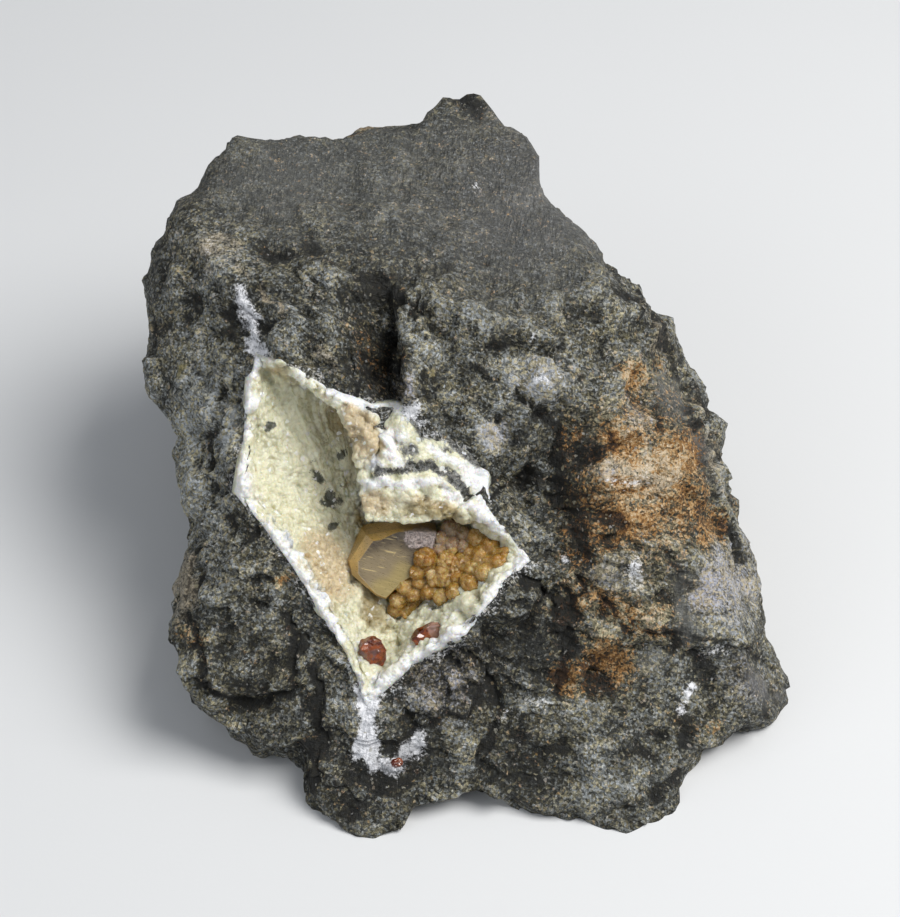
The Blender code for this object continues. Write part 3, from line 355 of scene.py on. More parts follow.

# The amber balls: (right, up, out, radius), the larger ones listed one by one and the rest as a spiral of small
# ones
BALL_CORE = np.array([0.2, -13.0, -6.4])
BALL_CORE_SIZE = np.array([6.0, 4.3, 3.5])
BALL_CORE_SHARE = 0.9
LARGE_BALLS = [
    (-2.9, -12.0, -3.1, 1.45), (-0.5, -12.2, -3.2, 1.25), (-3.9, -13.6, -3.3, 1.0), (-1.0, -14.2, -3.3, 1.2),
    (1.3, -12.4, -3.4, 1.1), (0.8, -14.2, -3.1, 1.1), (2.6, -13.2, -2.8, 1.15), (3.6, -11.6, -2.9, 1.25),
    (0.1, -8.5, -4.2, 1.25), (1.5, -9.1, -4.2, 1.0), (0.2, -10.3, -3.7, 1.05), (1.5, -10.6, -3.6, 0.85),
    (3.2, -9.6, -4.0, 1.3), (4.8, -10.5, -2.9, 1.25), (-5.5, -15.4, -3.9, 1.0), (-4.4, -16.2, -4.2, 1.05),
    (-6.3, -17.0, -4.6, 1.1), (-6.6, -18.2, -5.2, 0.95), (-2.6, -15.9, -3.9, 1.1), (-1.0, -16.6, -3.2, 1.05),
    (6.7, -11.3, -1.3, 0.95), (4.8, -9.4, -4.0, 0.9), (0.6, -15.9, -2.4, 1.15), (2.4, -14.9, -1.7, 1.2),
    (4.2, -13.6, -1.1, 1.2), (-5.3, -18.6, -5.4, 0.75), (5.6, -12.4, -0.9, 1.1), (1.4, -12.3, -2.8, 0.5),
    (-3.8, -14.9, -3.6, 0.8), (-2.2, -13.8, -3.1, 0.8), (0.5, -13.2, -3.1, 0.75), (2.3, -11.4, -3.4, 0.9),
    (-1.0, -9.6, -3.3, 0.9), (-1.3, -10.8, -3.2, 0.8),
]
# Which of them are mauve, counted from 0
MAUVE_BALLS = (8, 9, 10, 11, 27, 32, 33)
# Each ball's tone differs from the last one's by this part of the whole range
TONE_STEP = 0.618
# The balls run into each other over this length
BALL_SOFTNESS = 0.5
SMALL_BALLS = 34
SMALL_BALL_RADIUS = 0.62
SMALL_BALL_SPREAD = 0.3
GOLDEN_ANGLE = math.radians(137.5)
BALL_SPOKES = 420
BALL_RINGS = 150
BALL_LAST_TILT = math.radians(140.0)
# The creases between balls, which the finish darkens with painted shade: width and depth. Uneven growth of the
# balls: height, then size, seed, sharpness
BALL_CREASE_WIDTH = 0.22
BALL_CREASE_DEPTH = 0.06
BALL_CHIP_HEIGHT = 0.10
BALL_CHIP = (0.8, 701, 12.0)
# Rounded grains on the balls: height, the level they rise from, then size and seed
BALL_GRAIN_HEIGHT = 0.28
BALL_GRAIN_LEVEL = 0.6
BALL_GRAIN = (0.85, 721)

# Red crystals, each a cube with its edges cut back: side of the cube, depth of the cuts, and points round it
RED_CUBE = 1.5
RED_BEVEL = 0.38
RED_SPOKES = 96
RED_RINGS = 60
RED_FIRST_TILT = 0.02
# Uneven growth of their faces: height, size, seed, sharpness
RED_CHIP_HEIGHT = 0.10
RED_CHIP = (0.8, 731, 20.0)
# Their middles (right, up, out), sizes and turns in degrees
RED_CRYSTALS = {
    "red_crystal_lower": ((-9.2, -22.9, -1.6), (2.0, 2.3, 1.6), 24.0),
    "red_crystal_right": ((-2.5, -20.8, -1.0), (2.6, 1.5, 1.2), 28.0),
    "red_crystal_vein": ((-6.2, -35.7, 1.2), (0.9, 0.6, 0.7), 18.0),
}
# The one that is pink at its right-hand end
PINK_ENDED = "red_crystal_right"

# Stains and tones of the rock's face: right, up, half width, half length, turn in degrees, strength
STAINS = {
    "rust": [
        (22.0, 9.0, 1.8, 1.6, 0, 0.7), (19.6, 2.7, 2.4, 2.3, 0, 0.6), (26.6, 0.2, 2.3, 3.2, -20, 0.65),
        (20.2, -3.3, 2.8, 2.2, 0, 0.5), (20.8, -8.3, 2.3, 2.1, 0, 0.6), (30.9, -8.4, 1.4, 2.6, 0, 0.7),
        (22.6, -2.4, 7.0, 11.5, 0, 0.66), (28.4, -5.9, 2.6, 3.2, 0, 0.5), (18.9, -23.6, 2.1, 1.6, 20, 0.8),
        (14.8, -26.1, 1.6, 1.7, 0, 0.75), (17.8, -24.8, 4.4, 3.4, 0, 0.5), (20.0, -18.5, 6.8, 2.4, -10, 0.60),
        (15.5, -10.0, 3.4, 8.0, 0, 0.42), (-19.4, -14.2, 0.8, 1.0, 0, 1.0),
        (-9.4, 12.6, 2.2, 4.6, 24, 0.32), (-30.2, -21.0, 1.6, 1.6, 0, 0.45),
        (29.0, -30.6, 2.8, 1.2, 0, 0.35), (13.4, 2.2, 1.6, 2.4, 0, 0.5), (25.0, 12.0, 1.0, 2.0, 30, 0.45),
    ],
    "tan": [
        (-28.9, 24.7, 2.8, 2.3, 20, 0.85), (-21.4, 18.0, 0.8, 2.2, 28, 1.0), (-25.0, 22.4, 0.8, 3.0, 30, 0.7),
        (24.4, 15.6, 1.1, 3.6, 34, 0.75), (30.9, 2.6, 1.9, 8.4, 10, 0.85), (-31.5, -15.4, 1.7, 6.0, -4, 0.9),
        (26.5, -7.8, 3.2, 3.4, 0, 0.50), (20.4, 18.2, 3.4, 0.9, -42, 0.5), (-33.6, 14.0, 1.4, 8.0, 0, 0.4),
        (-1.4, 10.0, 1.5, 1.2, 0, 0.8), (11.5, 11.4, 4.6, 1.1, 6, 0.40), (39.6, -28.0, 1.2, 2.4, 0, 0.5),
        (-15.4, 11.8, 2.8, 0.9, -36, 0.7), (29.4, -20.4, 2.4, 1.6, 0, 0.4), (20.4, -37.5, 6.0, 2.0, 0, 0.2),
    ],
    "white": [
        (10.7, 14.4, 0.7, 0.55, 0, 1.1), (22.0, -14.2, 1.1, 1.6, 0, 0.72), (13.6, -12.4, 0.8, 0.7, 0, 0.75),
        (-28.7, 24.4, 1.0, 1.2, 0, 0.5), (4.6, -7.4, 1.4, 0.5, -50, 0.6), (29.6, 12.2, 0.6, 0.9, 0, 0.6),
        (10.4, 9.2, 3.2, 2.2, 0, 0.16), (-4.4, 5.0, 1.4, 1.8, 0, 0.5), (7.4, -30.2, 2.2, 0.8, 20, 0.30),
        (22.6, -2.0, 2.6, 1.6, 8, 0.32), (10.7, -28.0, 1.0, 0.8, 0, 0.40), (3.4, 2.4, 1.0, 0.9, 0, 0.25),
        (31.0, -23.5, 2.4, 1.4, -20, 0.35), (19.4, 11.6, 1.2, 0.7, 30, 0.35),
    ],
    "olive": [
        (-1.9, 9.9, 1.2, 1.0, 0, 1.0), (-12.3, 19.4, 0.8, 0.7, 0, 1.0), (10.7, 28.4, 0.45, 0.4, 0, 1.3),
        (-32.4, 10.4, 1.0, 1.5, 24, 1.2), (7.6, 14.6, 4.0, 2.4, 0, 0.4), (21.2, 13.8, 1.8, 1.3, 0, 0.75),
        (24.8, -29.5, 6.0, 4.0, 0, 0.40), (-22.6, -13.4, 1.2, 1.0, 0, 0.6), (10.0, -19.0, 4.0, 2.0, 0, 0.4),
        (14.8, -5.0, 2.4, 6.5, 6, 0.45), (31.6, -6.0, 0.9, 2.0, 0, 0.6),
    ],
}
TONES = {
    "pale": [
        (10.6, 9.8, 6.2, 4.0, 0, 1.0), (6.0, 2.2, 1.9, 1.7, 0, 1.0), (8.4, 3.9, 1.1, 0.9, 0, 0.9),
        (10.7, -28.0, 1.2, 1.0, 0, 0.9), (23.4, -24.0, 2.7, 1.9, 10, 0.8), (33.0, -14.5, 3.4, 5.6, 0, 0.6),
        (24.0, 8.6, 3.0, 3.4, 0, 0.5), (22.0, -1.8, 4.0, 5.0, 0, 0.55), (28.0, -27.0, 4.0, 3.4, 0, 0.5),
        (-29.0, 2.0, 4.8, 15.0, 0, 1.0), (0.0, 14.0, 12.0, 4.0, -10, 0.35),
        (30.1, -14.8, 1.4, 2.0, 0, 0.8), (31.0, 3.0, 2.0, 8.0, 10, 0.5),
        (-16.0, -30.0, 2.4, 2.4, 0, 0.3), (22.0, -34.0, 9.0, 5.0, 0, 0.2), (-28.0, 24.0, 4.0, 4.0, 0, 0.3),
    ],
    # The dark tones are partly the rock's own darker tone and partly painted shade: in the pit above the lip,
    # along the valley, in cracks and creases and low on the face over the foot
    "dark": [
        (-9.0, 12.4, 3.2, 4.8, 18, 1.1), (15.2, -5.3, 2.6, 8.0, 4, 0.8), (9.0, -21.5, 5.0, 4.6, 0, 0.6),
        (-25.0, -28.2, 4.4, 1.0, 8, 0.9), (-14.8, -31.5, 1.4, 5.0, -4, 0.6), (9.4, 1.2, 3.0, 1.0, 20, 0.6),
        (-28.0, 33.5, 4.0, 3.0, 0, 0.35), (5.8, -15.9, 1.6, 3.0, 30, 0.5), (27.7, -18.2, 1.6, 4.0, 10, 0.35),
        (36.5, -27.3, 1.7, 1.9, 0, 0.35), (-22.6, -22.0, 4.6, 4.6, 0, 0.2), (7.0, -38.0, 6.0, 3.0, 0, 0.5),
        (-31.0, -9.5, 2.4, 3.0, 0, 0.4), (22.0, 5.9, 1.4, 1.8, 0, 0.6), (29.2, 0.8, 1.4, 3.4, 20, 0.45),
        (-25.0, 14.0, 5.0, 7.0, 0, 0.20), (-14.0, -35.0, 4.0, 5.0, 0, 0.4), (17.0, 17.0, 2.0, 3.0, 30, 0.35),
        (14.0, -33.0, 9.0, 4.0, 0, 0.25), (-2.0, -34.0, 2.6, 4.0, 0, 0.5), (-0.6, -25.8, 5.0, 4.0, 20, 0.45),
    ],
    "lilac": [
        (-0.6, -25.8, 6.0, 4.0, 20, 1.0), (22.0, -2.0, 6.0, 9.0, 0, 0.6), (33.0, -14.0, 3.0, 6.0, 0, 0.8),
        (19.2, -1.2, 2.3, 2.2, 0, 1.0), (23.3, -3.3, 4.0, 1.1, 0, 1.0),
        (30.1, -14.8, 1.6, 2.2, 0, 1.0), (-5.2, 8.2, 1.0, 1.9, 10, 1.0), (18.4, -14.5, 3.0, 2.6, 0, 0.5),
        (8.0, 30.0, 12.0, 8.0, 0, 0.25), (-9.4, 9.8, 1.6, 3.6, 26, 0.5), (35.0, -26.5, 3.0, 2.6, 0, 0.7),
        (6.2, 2.2, 1.8, 1.6, 0, 0.7), (22.0, 5.9, 1.3, 1.7, 0, 0.8), (10.8, 9.0, 4.0, 2.6, 0, 0.4),
    ],
    "smooth": [
        (0.0, 34.0, 26.0, 11.0, 0, 0.70), (12.0, 27.0, 12.0, 8.0, 40, 0.55), (-22.0, 33.0, 8.0, 6.0, 0, 0.5),
        (27.7, -18.2, 1.5, 4.0, 10, 0.9), (36.5, -27.3, 1.8, 1.9, 0, 0.9), (26.3, 7.3, 1.6, 2.4, 14, 0.8),
        (29.2, 0.8, 1.5, 3.4, 20, 1.0), (23.4, -24.0, 2.5, 1.7, 10, 0.6),
    ],
}
# White veins in the rock: half width, strength, and the places (right, up) that they run through
VEINS = [
    (1.35, 1.2, [(-9.9, -28.2), (-9.8, -31.0), (-9.8, -34.4)]),
    (1.15, 0.9, [(-10.6, -34.4), (-8.6, -36.2), (-5.4, -35.4), (-3.2, -33.2)]),
    (1.05, 0.85, [(-24.6, 19.6), (-24.2, 16.8), (-23.2, 14.6), (-22.9, 12.8)]),
    (0.22, 0.90, [(9.4, 8.8), (12.0, 9.8), (14.0, 10.6)]),
    (0.28, 0.55, [(1.2, 32.2), (3.2, 31.4), (4.7, 29.6)]),
    (0.40, 0.95, [(27.0, -29.6), (27.8, -28.4), (28.2, -27.2)]),
    (0.25, 0.60, [(18.0, -2.4), (21.0, -3.0), (23.6, -2.6)]),
]
# Weathering of the sides and back: size and seed of its patches, how much of the rock they take, their strength
WEATHERING = (9.0, 231)
WEATHERED_RANGE = 0.8
WEATHERED_SHARE = 0.35
WEATHERED_STRENGTH = 0.5
# Where the weathering is rusty: size and seed, and how much of it
RUSTY = (14.0, 241)
RUSTY_SHARE = 0.2
# The height in millimetres at which the rock's crests are fully lightened with painted light
FULL_CREST = 0.8
# White dust on the rock beside the crust
DUST_REACH = 0.45
DUST_STRENGTH = 0.34
# How far the edges of those patches wander: (size of the wander, how far, seed)
PATCH_WANDER = [(4.2, 1.5, 201), (1.7, 0.8, 211), (0.7, 0.35, 221)]

# Patches of the crust, in the same form
CRUST_PATCHES = {
    "white": [
        (-8.9, -27.6, 1.6, 3.0, 0, 0.9), (-24.2, -3.4, 1.8, 4.0, 0, 0.80), (-17.8, -14.2, 1.6, 8.5, 33, 0.35),
        (1.8, -20.2, 5.5, 1.4, 30, 0.75), (8.2, -11.8, 1.6, 1.4, 0, 0.6), (-23.6, 9.8, 1.0, 3.4, 0, 0.5),
        (2.8, -2.6, 1.5, 1.5, 0, 1.0), (-8.9, -0.6, 1.3, 0.9, 0, 1.0), (-6.2, 2.4, 1.0, 1.4, 0, 0.8),
    ],
    # The honey patches are painted shade in a dull honey colour: under the top edge, in the recess and the
    # groove under the lip, along the lip's underside and deep in the pocket below the crystal
    "honey": [
        (-19.4, 10.0, 2.8, 0.8, -38, 0.8), (-13.5, 4.0, 1.3, 3.0, 26, 1.0), (-11.6, -1.0, 0.8, 3.4, -6, 0.7),
        (-2.0, -6.4, 5.0, 0.9, -6, 1.0), (3.8, -7.6, 1.8, 1.0, -36, 0.7), (-9.2, -17.6, 1.9, 2.8, 10, 1.2),
        (-10.8, -6.9, 1.0, 1.2, 0, 0.6), (-7.2, -20.6, 1.4, 1.2, 0, 0.35), (-10.9, -10.0, 1.0, 4.0, 0, 0.6),
        (-3.0, -5.2, 4.6, 0.8, -6, 0.55), (-8.1, -5.9, 0.6, 0.5, 0, 0.9),
        (-1.1, -5.7, 0.8, 0.5, 0, 0.8), (5.6, -12.6, 2.2, 1.0, 30, 0.7), (4.4, -15.0, 2.4, 0.9, 34, 0.6),
    ],
    "spot": [
        (-20.7, 3.8, 0.75, 0.8, 0, 1.1), (-12.8, 0.9, 0.65, 0.7, 0, 1.1), (-15.8, -2.4, 1.1, 0.75, -20, 1.0),
        (-14.2, -5.1, 1.3, 1.1, -30, 0.95), (-14.1, -8.0, 0.75, 0.5, 0, 1.1), (-8.3, -2.2, 0.5, 0.35, 0, 1.0),
        (-16.8, -0.6, 0.4, 0.4, 0, 0.6), (-1.0, -17.2, 2.6, 0.5, 14, 0.62), (-13.0, -3.0, 0.8, 0.5, 0, 0.6),
    ],
    "rock": [
        (-4.8, 1.0, 1.3, 1.2, 0, 0.95), (-0.6, 0.7, 0.6, 0.5, 0, 1.0), (-3.0, 3.8, 2.6, 1.4, -36, 1.1),
        (1.2, 1.2, 2.4, 0.9, -40, 1.1), (3.4, -0.4, 1.2, 0.9, -50, 0.9), (-5.0, -1.2, 0.9, 0.5, 0, 0.8),
    ],
    "tan": [
        (-9.6, 2.6, 2.6, 3.4, 24, 1.1), (-8.6, -5.2, 2.4, 1.9, 0, 1.0), (-20.4, 10.6, 1.6, 0.7, -30, 0.8),
        (-1.8, -5.4, 4.0, 0.9, -10, 0.8), (6.2, -10.4, 1.6, 0.8, -40, 0.5), (-11.2, 5.6, 1.4, 1.4, 0, 0.9),
        (-14.6, 8.0, 1.6, 0.8, -30, 0.5), (-14.6, -12.6, 3.4, 6.0, 20, 1.0),
    ],
}
# White and rock bands over the lip: half width, strength, and the places (right, up) that they run through
LIP_BANDS = {
    "white": [
        (0.60, 1.1, [
            (-10.0, -2.8), (-7.4, -2.8), (-5.1, -3.0), (-1.5, -2.6), (0.9, -4.5), (3.4, -5.8), (6.0, -8.9)]),
        (0.55, 0.9, [(-7.5, 3.3), (-7.0, 0.6), (-5.8, -0.5)]),
        (0.50, 0.9, [(-2.7, 1.6), (-0.3, -0.4), (1.5, -1.3)]),
        (0.6, 0.7, [(-17.0, 10.4), (-13.4, 8.0), (-10.4, 6.6)]),
    ],
    "rock": [
        (0.48, 1.5, [(-8.7, -2.0), (-6.9, -1.3), (-4.0, -1.0), (-1.9, -0.9), (0.9, -2.6), (2.1, -4.2)]),
    ],
}
# In this area the white bands stand this many millimetres proud of the lip and the rock bands are sunk as deep
BAND_RISE = 0.45
LIP_AREA = (-3.0, -1.0, 9.0, 6.5, -30, 1.0)
# The bright edge of the crust: how much thicker it is, and how far in from the outer edge it reaches
RIM_LIFT = 0.25
RIM_GLOW = 2.1
# Its strength: the least, how much a random swell adds, and the swell's size and seed
RIM_LEAST = 0.60
RIM_VARIES = 0.55
RIM_SWELL = (4.5, 541)
# How much it adds to the beads and the white and takes off the honey, and how much tan holds back the white
RIM_BEADS = 0.45
RIM_WHITE = 0.8
RIM_HONEY = 0.8
TAN_HOLDS_BACK = 0.7
# Where the crust's beads are large: right, up, half width, half length, turn, share of their full height
BEAD_PATCHES = [
    (-8.6, 1.6, 3.6, 4.6, 24, 1.0), (-2.0, -3.0, 7.5, 3.8, -25, 0.9), (1.0, -18.6, 8.5, 2.6, 30, 0.75),
    (-7.4, -21.0, 2.6, 3.4, 0, 0.8), (-10.8, -8.0, 2.0, 9.0, 0, 0.45), (-15.6, -15.0, 1.8, 8.0, 33, 0.6),
    (-14.0, 7.0, 5.0, 1.4, -32, 0.7),
]
LEAST_BEADS = 0.22
# The knobs' height where no beads are large
LEAST_KNOBS = 0.25
# Large and half-size beads together: share of the half-size ones, level they rise from, and height
HALF_BEADS = 0.3
BEAD_LEVEL = 0.55
BEAD_SCALE = 2.0
# Small beads all over: size and height as shares of the large ones', and the level they rise from
SMALL_BEAD_SIZE = 0.4
SMALL_BEAD_HEIGHT = 0.34
SMALL_BEAD_LEVEL = 0.6
# The hollows between the beads, which get painted shade in the honey colour: where they begin, and over what
# they deepen
HOLLOW_LEVEL = 0.62
HOLLOW_FADE = 0.5
# Points round the crust, and rings between one station of its open side and the next
CRUST_SPOKES = 560
CRUST_RINGS = [9, 12, 12, 10] + [8] * 5 + [9] * 6
# Rings from its edge over which its relief begins
RELIEF_RINGS = 14.0
# The crust's edge is tucked this far out and down into the rock
EDGE_TUCK = 0.5
# A bead's radius as a share of the distance between beads
BEAD_REACH = 0.78
# How far the edges of the crust's patches wander: (size of the wander, how far, seed)
CRUST_WANDER = [(1.6, 0.55, 301), (0.7, 0.3, 311)]

# The stage: places and widths in metres
FLOOR_HALF = 1.5
KEY_LIGHT = {"place": (0.31, -0.07, 0.50), "width": 0.36, "tint": (1.0, 0.985, 0.96)}
FILL_LIGHT = {"place": (-0.45, -0.30, 0.35), "width": 0.5, "tint": (0.93, 0.96, 1.0)}
SKY_COLOUR = (0.86, 0.90, 0.96, 1.0)
NEAREST_VIEW = 0.01
# Half the width of what the camera sees on the plane of the face, in millimetres
VIEW_HALF_WIDTH = 53.1


def settings():
    """The values in the sidebar panel."""
    return bpy.context.scene.leadhillite


def smooth(value):
    """0 below 0, 1 above 1, and a curve with level ends between."""
    held = np.clip(value, 0.0, 1.0)
    return held * held * (3.0 - 2.0 * held)


def cos_sin(degrees):
    """Cosine and sine of an angle in degrees."""
    return math.cos(math.radians(degrees)), math.sin(math.radians(degrees))


def to_world(face_points):
    """Points given as (right, up, out) of the face, in world millimetres."""
    return FACE_MIDDLE + face_points @ FACE_AXES


def to_face(world_points):
    """World millimetres as (right, up, out) of the face."""
    return (world_points - FACE_MIDDLE) @ FACE_AXES.T


def seen_at(points):
    """Where points given as (right, up, out) show on the plane of the face, looked at from the eye."""
    return points[..., :2] / (1.0 - points[..., 2:] / EYE_DISTANCE)


def behind(seen, out):
    """The points that show at "seen" and lie "out" of the face."""
    return np.concatenate([seen * (1.0 - out / EYE_DISTANCE)[..., None], out[..., None]], axis=-1)


def corner_value(cell, seed):
    """A fixed number from 0 to 1 for each corner of a lattice, by mixing whole numbers."""
    i, j, k = (cell[..., axis].astype(np.int64) for axis in range(3))
    mixed = (i * 73856093) ^ (j * 19349663) ^ (k * 83492791) ^ (seed * 668265263)
    mixed = ((mixed ^ (mixed >> 13)) * 1274126177) & 0xFFFFFFFF
    mixed = ((mixed ^ (mixed >> 16)) * 2246822519) & 0xFFFFFFFF
    return (mixed ^ (mixed >> 15)) / 4294967295.0


def swell(points, size, seed):
    """Smooth random rise and fall from -1 to 1: lattice values blended along each axis."""
    scaled = points / size + 100.0
    base = np.floor(scaled)
    part = scaled - base
    part = part * part * part * (part * (part * 6.0 - 15.0) + 10.0)
    total = np.zeros(points.shape[:-1])
    for corner in np.ndindex(2, 2, 2):
        offset = np.array(corner)
        share = np.prod(np.where(offset == 1, part, 1.0 - part), axis=-1)
        total += share * corner_value(base + offset, seed)
    return total * 2.0 - 1.0


def chip(points, size, seed, sharpness=CHIP_SHARPNESS):
    """Flat chips from -1 to 1: each random site owns a tilted plane, and planes meet in soft creases."""
    scaled = points / size + 100.0
    base = np.floor(scaled)
    total = np.zeros(points.shape[:-1])
    weights = np.full(points.shape[:-1], 1e-9)
    for corner in np.ndindex(3, 3, 3):
        cell = base + np.array(corner) - 1
        jitter = np.stack([corner_value(cell, seed + axis) for axis in range(3)], axis=-1)
        tilt = np.stack([corner_value(cell, seed + 50 + axis) for axis in range(3)], axis=-1) * 2.0 - 1.0
        away = scaled - (cell + jitter)
        weight = np.exp(-sharpness * (away * away).sum(axis=-1))
        total += weight * ((away * tilt).sum(axis=-1) * CHIP_TILT + tilt[..., 0] * CHIP_STEP)
        weights += weight
    return total / weights


def beads(points, size, seed):
    """Rounded beads from 0 to 1: the upper half of a ball round the nearest of a lattice's random sites."""
    scaled = points / size + 100.0
    base = np.floor(scaled)
    nearest = np.full(points.shape[:-1], 9.0)
    for corner in np.ndindex(3, 3, 3):
        cell = base + np.array(corner) - 1
        jitter = np.stack([corner_value(cell, seed + axis) for axis in range(3)], axis=-1)
        away = scaled - (cell + jitter)
        nearest = np.minimum(nearest, (away * away).sum(axis=-1))
    return np.sqrt(np.maximum(1.0 - nearest / (BEAD_REACH * BEAD_REACH), 0.0))


def around(pairs, degrees):
    """Values given at some compass directions, eased between them all the way round."""
    angles, values = np.array(pairs, float).T
    return np.interp(degrees % 360.0, angles, values, period=360.0)


def outline_reach(outline, centre, angle):
    """Distance from the centre to a closed outline in each direction, along its straight edges."""
    points = np.array(outline) - centre
    corner = np.arctan2(points[:, 1], points[:, 0]) % TURN
    order = np.argsort(corner)
    corner = corner[order]
    reach = np.hypot(points[:, 0], points[:, 1])[order]
    corner = np.concatenate([corner[-1:] - TURN, corner, corner[:1] + TURN])
    reach = np.concatenate([reach[-1:], reach, reach[:1]])
    angle = angle % TURN
    after = np.clip(np.searchsorted(corner, angle), 1, len(corner) - 1)
    first, last = corner[after - 1], corner[after]
    inverse = np.sin(last - angle) / reach[after - 1] + np.sin(angle - first) / reach[after]
    return np.sin(last - first) / inverse


def soft_least(a, b, softness):
    """The smaller of two lengths, rounded off where they are nearly equal."""
    closeness = np.maximum(softness - np.abs(a - b), 0.0) / softness
    return np.minimum(a, b) - closeness * closeness * softness / 4.0


def plane_reach(offset, slope):
    """Distance to a plane along each direction, far away where the direction never meets it."""
    return np.where(slope > NEARLY_ALONG, offset / np.maximum(slope, NEARLY_ALONG), OUT_OF_REACH)


def rock_centre():
    """The point inside the rock that its surface is measured from, as (right, up, out)."""
    return behind(OUTLINE_CENTRE[None], np.array([CENTRE_OUT]))[0]


def side_reach(direction, reach_factor):
    """Distance to the rock's sides: the cone through its outline from the eye, drawn in before and behind."""
    skewed = direction[:, :2] + OUTLINE_CENTRE * direction[:, 2:] / EYE_DISTANCE
    angle = np.arctan2(skewed[:, 1], skewed[:, 0])
    length = np.hypot(skewed[:, 0], skewed[:, 1])
    reach = outline_reach(ROCK_OUTLINE, OUTLINE_CENTRE, angle) * reach_factor(np.degrees(angle))
    widest = around(WIDEST_OUT, np.degrees(angle))

    def distance(drawn):
        slant = length + drawn * direction[:, 2] / EYE_DISTANCE
        return drawn * (1.0 - CENTRE_OUT / EYE_DISTANCE) / np.maximum(slant, NEARLY_ALONG)

    drawn = reach
    for _ in range(2):
        out = CENTRE_OUT + np.minimum(distance(drawn), FURTHEST_SIDE) * direction[:, 2]
        drawn = reach * (1.0 - BARREL * np.minimum(((out - widest) / BARREL_LENGTH) ** 2, BARREL_LIMIT))
    return distance(drawn)


def ledge_window(degrees, ledge):
    """1 in the middle of a ledge's stretch of outline, falling to 0 at its ends."""
    middle, half_width = ledge[0], ledge[1]
    away = np.abs((degrees - middle + 180.0) % 360.0 - 180.0) / half_width
    return np.clip(LEDGE_ENDS * (1.0 - away), 0.0, 1.0)


def block_reach(direction):
    """Distance from the rock's centre to its surface before lumps and unevenness are added."""
    centre = rock_centre()

    def set_back(degrees):
        factor = np.ones_like(degrees)
        for ledge in LEDGES:
            factor -= ledge_window(degrees, ledge) * ledge[2] / LEDGE_REACH
        return factor

    reach = side_reach(direction, set_back)
    for right, up, out, right_slope, up_slope in FACE_FACETS.values():
        offset = out + right_slope * (centre[0] - right) + up_slope * (centre[1] - up) - centre[2]
        slope = direction[:, 2] - right_slope * direction[:, 0] - up_slope * direction[:, 1]
        reach = soft_least(reach, plane_reach(offset, slope), FACET_SOFTNESS)
    widest = side_reach(direction, np.ones_like)
    degrees = np.degrees(np.arctan2(direction[:, 1], direction[:, 0]))
    for ledge in LEDGES:
        top = plane_reach(ledge[3] - centre[2], direction[:, 2] + LEDGE_TILT)
        shelf = soft_least(widest, top, FACET_SOFTNESS)
        inside = ledge_window(degrees, ledge) > LEDGE_FAINT
        reach = np.where(inside, np.maximum(reach, shelf), reach)
    for x, y, z, distance in HIDDEN_FACETS:
        turned = FACE_AXES @ np.array([x, y, z])
        slope = direction @ (turned / np.linalg.norm(turned))
        reach = soft_least(reach, plane_reach(distance, slope), FACET_SOFTNESS)
    return reach


def patch_depth(seen, right, up, half_width, half_length, turn):
    """Squared distance of each seen place from the middle of a turned oval: 1 is on the oval's edge."""
    c, s = cos_sin(turn)
    x, y = seen[..., 0] - right, seen[..., 1] - up
    across, along = (x * c + y * s) / half_width, (y * c - x * s) / half_length
    return across * across + along * along


def lump_height(seen):
    """Sum of the rounded lumps and hollows of the face at each seen place."""
    height = np.zeros(len(seen))
    for *oval, rise in FACE_LUMPS.values():
        height += rise * np.exp(-patch_depth(seen, *oval) ** LUMP_EDGE)
    return height


def hidden_lump_height(world_points):
    """Sum of the rounded lumps and hollows on the sides that the face doesn't show."""
    height = np.zeros(len(world_points))
    for x, y, z, radius, rise in HIDDEN_LUMPS.values():
        away = np.linalg.norm(world_points - np.array([x, y, z]), axis=1) / radius
        height += rise * np.exp(-away * away)
    return height


def add_layers(height, pattern, points, layers, *sharpness):
    """Adds several sizes of a random pattern to a height, drawn out along a heading where a layer names one."""
    for size, rise, seed, *drawn in layers:
        height += rise * pattern(drawn_out(points, *drawn) if drawn else points, size, seed, *sharpness)
    return height


def sideways(direction):
    """1 where the rock's surface lies to the side of its centre, and 0 towards the face and the back."""
    return np.clip((SIDE_LIMIT - np.abs(direction[:, 2])) / SIDE_BLEND, 0.0, 1.0)


def shown_share(points):
    """1 on the face and beside it, where the patterns drawn there show, and 0 far behind it."""
    return smooth((points[..., 2] - PATTERN_END) / PATTERN_FADE)


def rock_reach(direction):
    """Distance from the rock's centre to its surface in each direction, without the finest unevenness."""
    reach = block_reach(direction)
    points = rock_centre() + reach[:, None] * direction
    facing = np.clip(direction[:, 2] * LUMP_FADE + LUMP_FADE_START, 0.0, 1.0)
    rough = lump_height(seen_at(points)) * facing + hidden_lump_height(to_world(points))
    rough = add_layers(rough, swell, points, SWELLS)
    rough = add_layers(rough, chip, points, CHIPS)
    return reach + rough * (1.0 - SIDE_CALM * sideways(direction))


def wandered(seen, points, wander):
    """Seen places shifted by noise, so that the patches drawn there get ragged edges."""
    shifted = seen.copy()
    for size, far, seed in wander:
        shifted[..., 0] += far * swell(points, size, seed)
        shifted[..., 1] += far * swell(points, size, seed + 1)
    return shifted


def patch_amount(seen, patches):
    """How strongly a list of oval patches covers each seen place, from 0 to 1: overlapping ovals add up."""
    amount = np.zeros(seen.shape[:-1])
    for *oval, strength in patches:
        amount += strength * np.exp(-patch_depth(seen, *oval) ** PATCH_EDGE)
    return np.clip(amount, 0.0, 1.0)


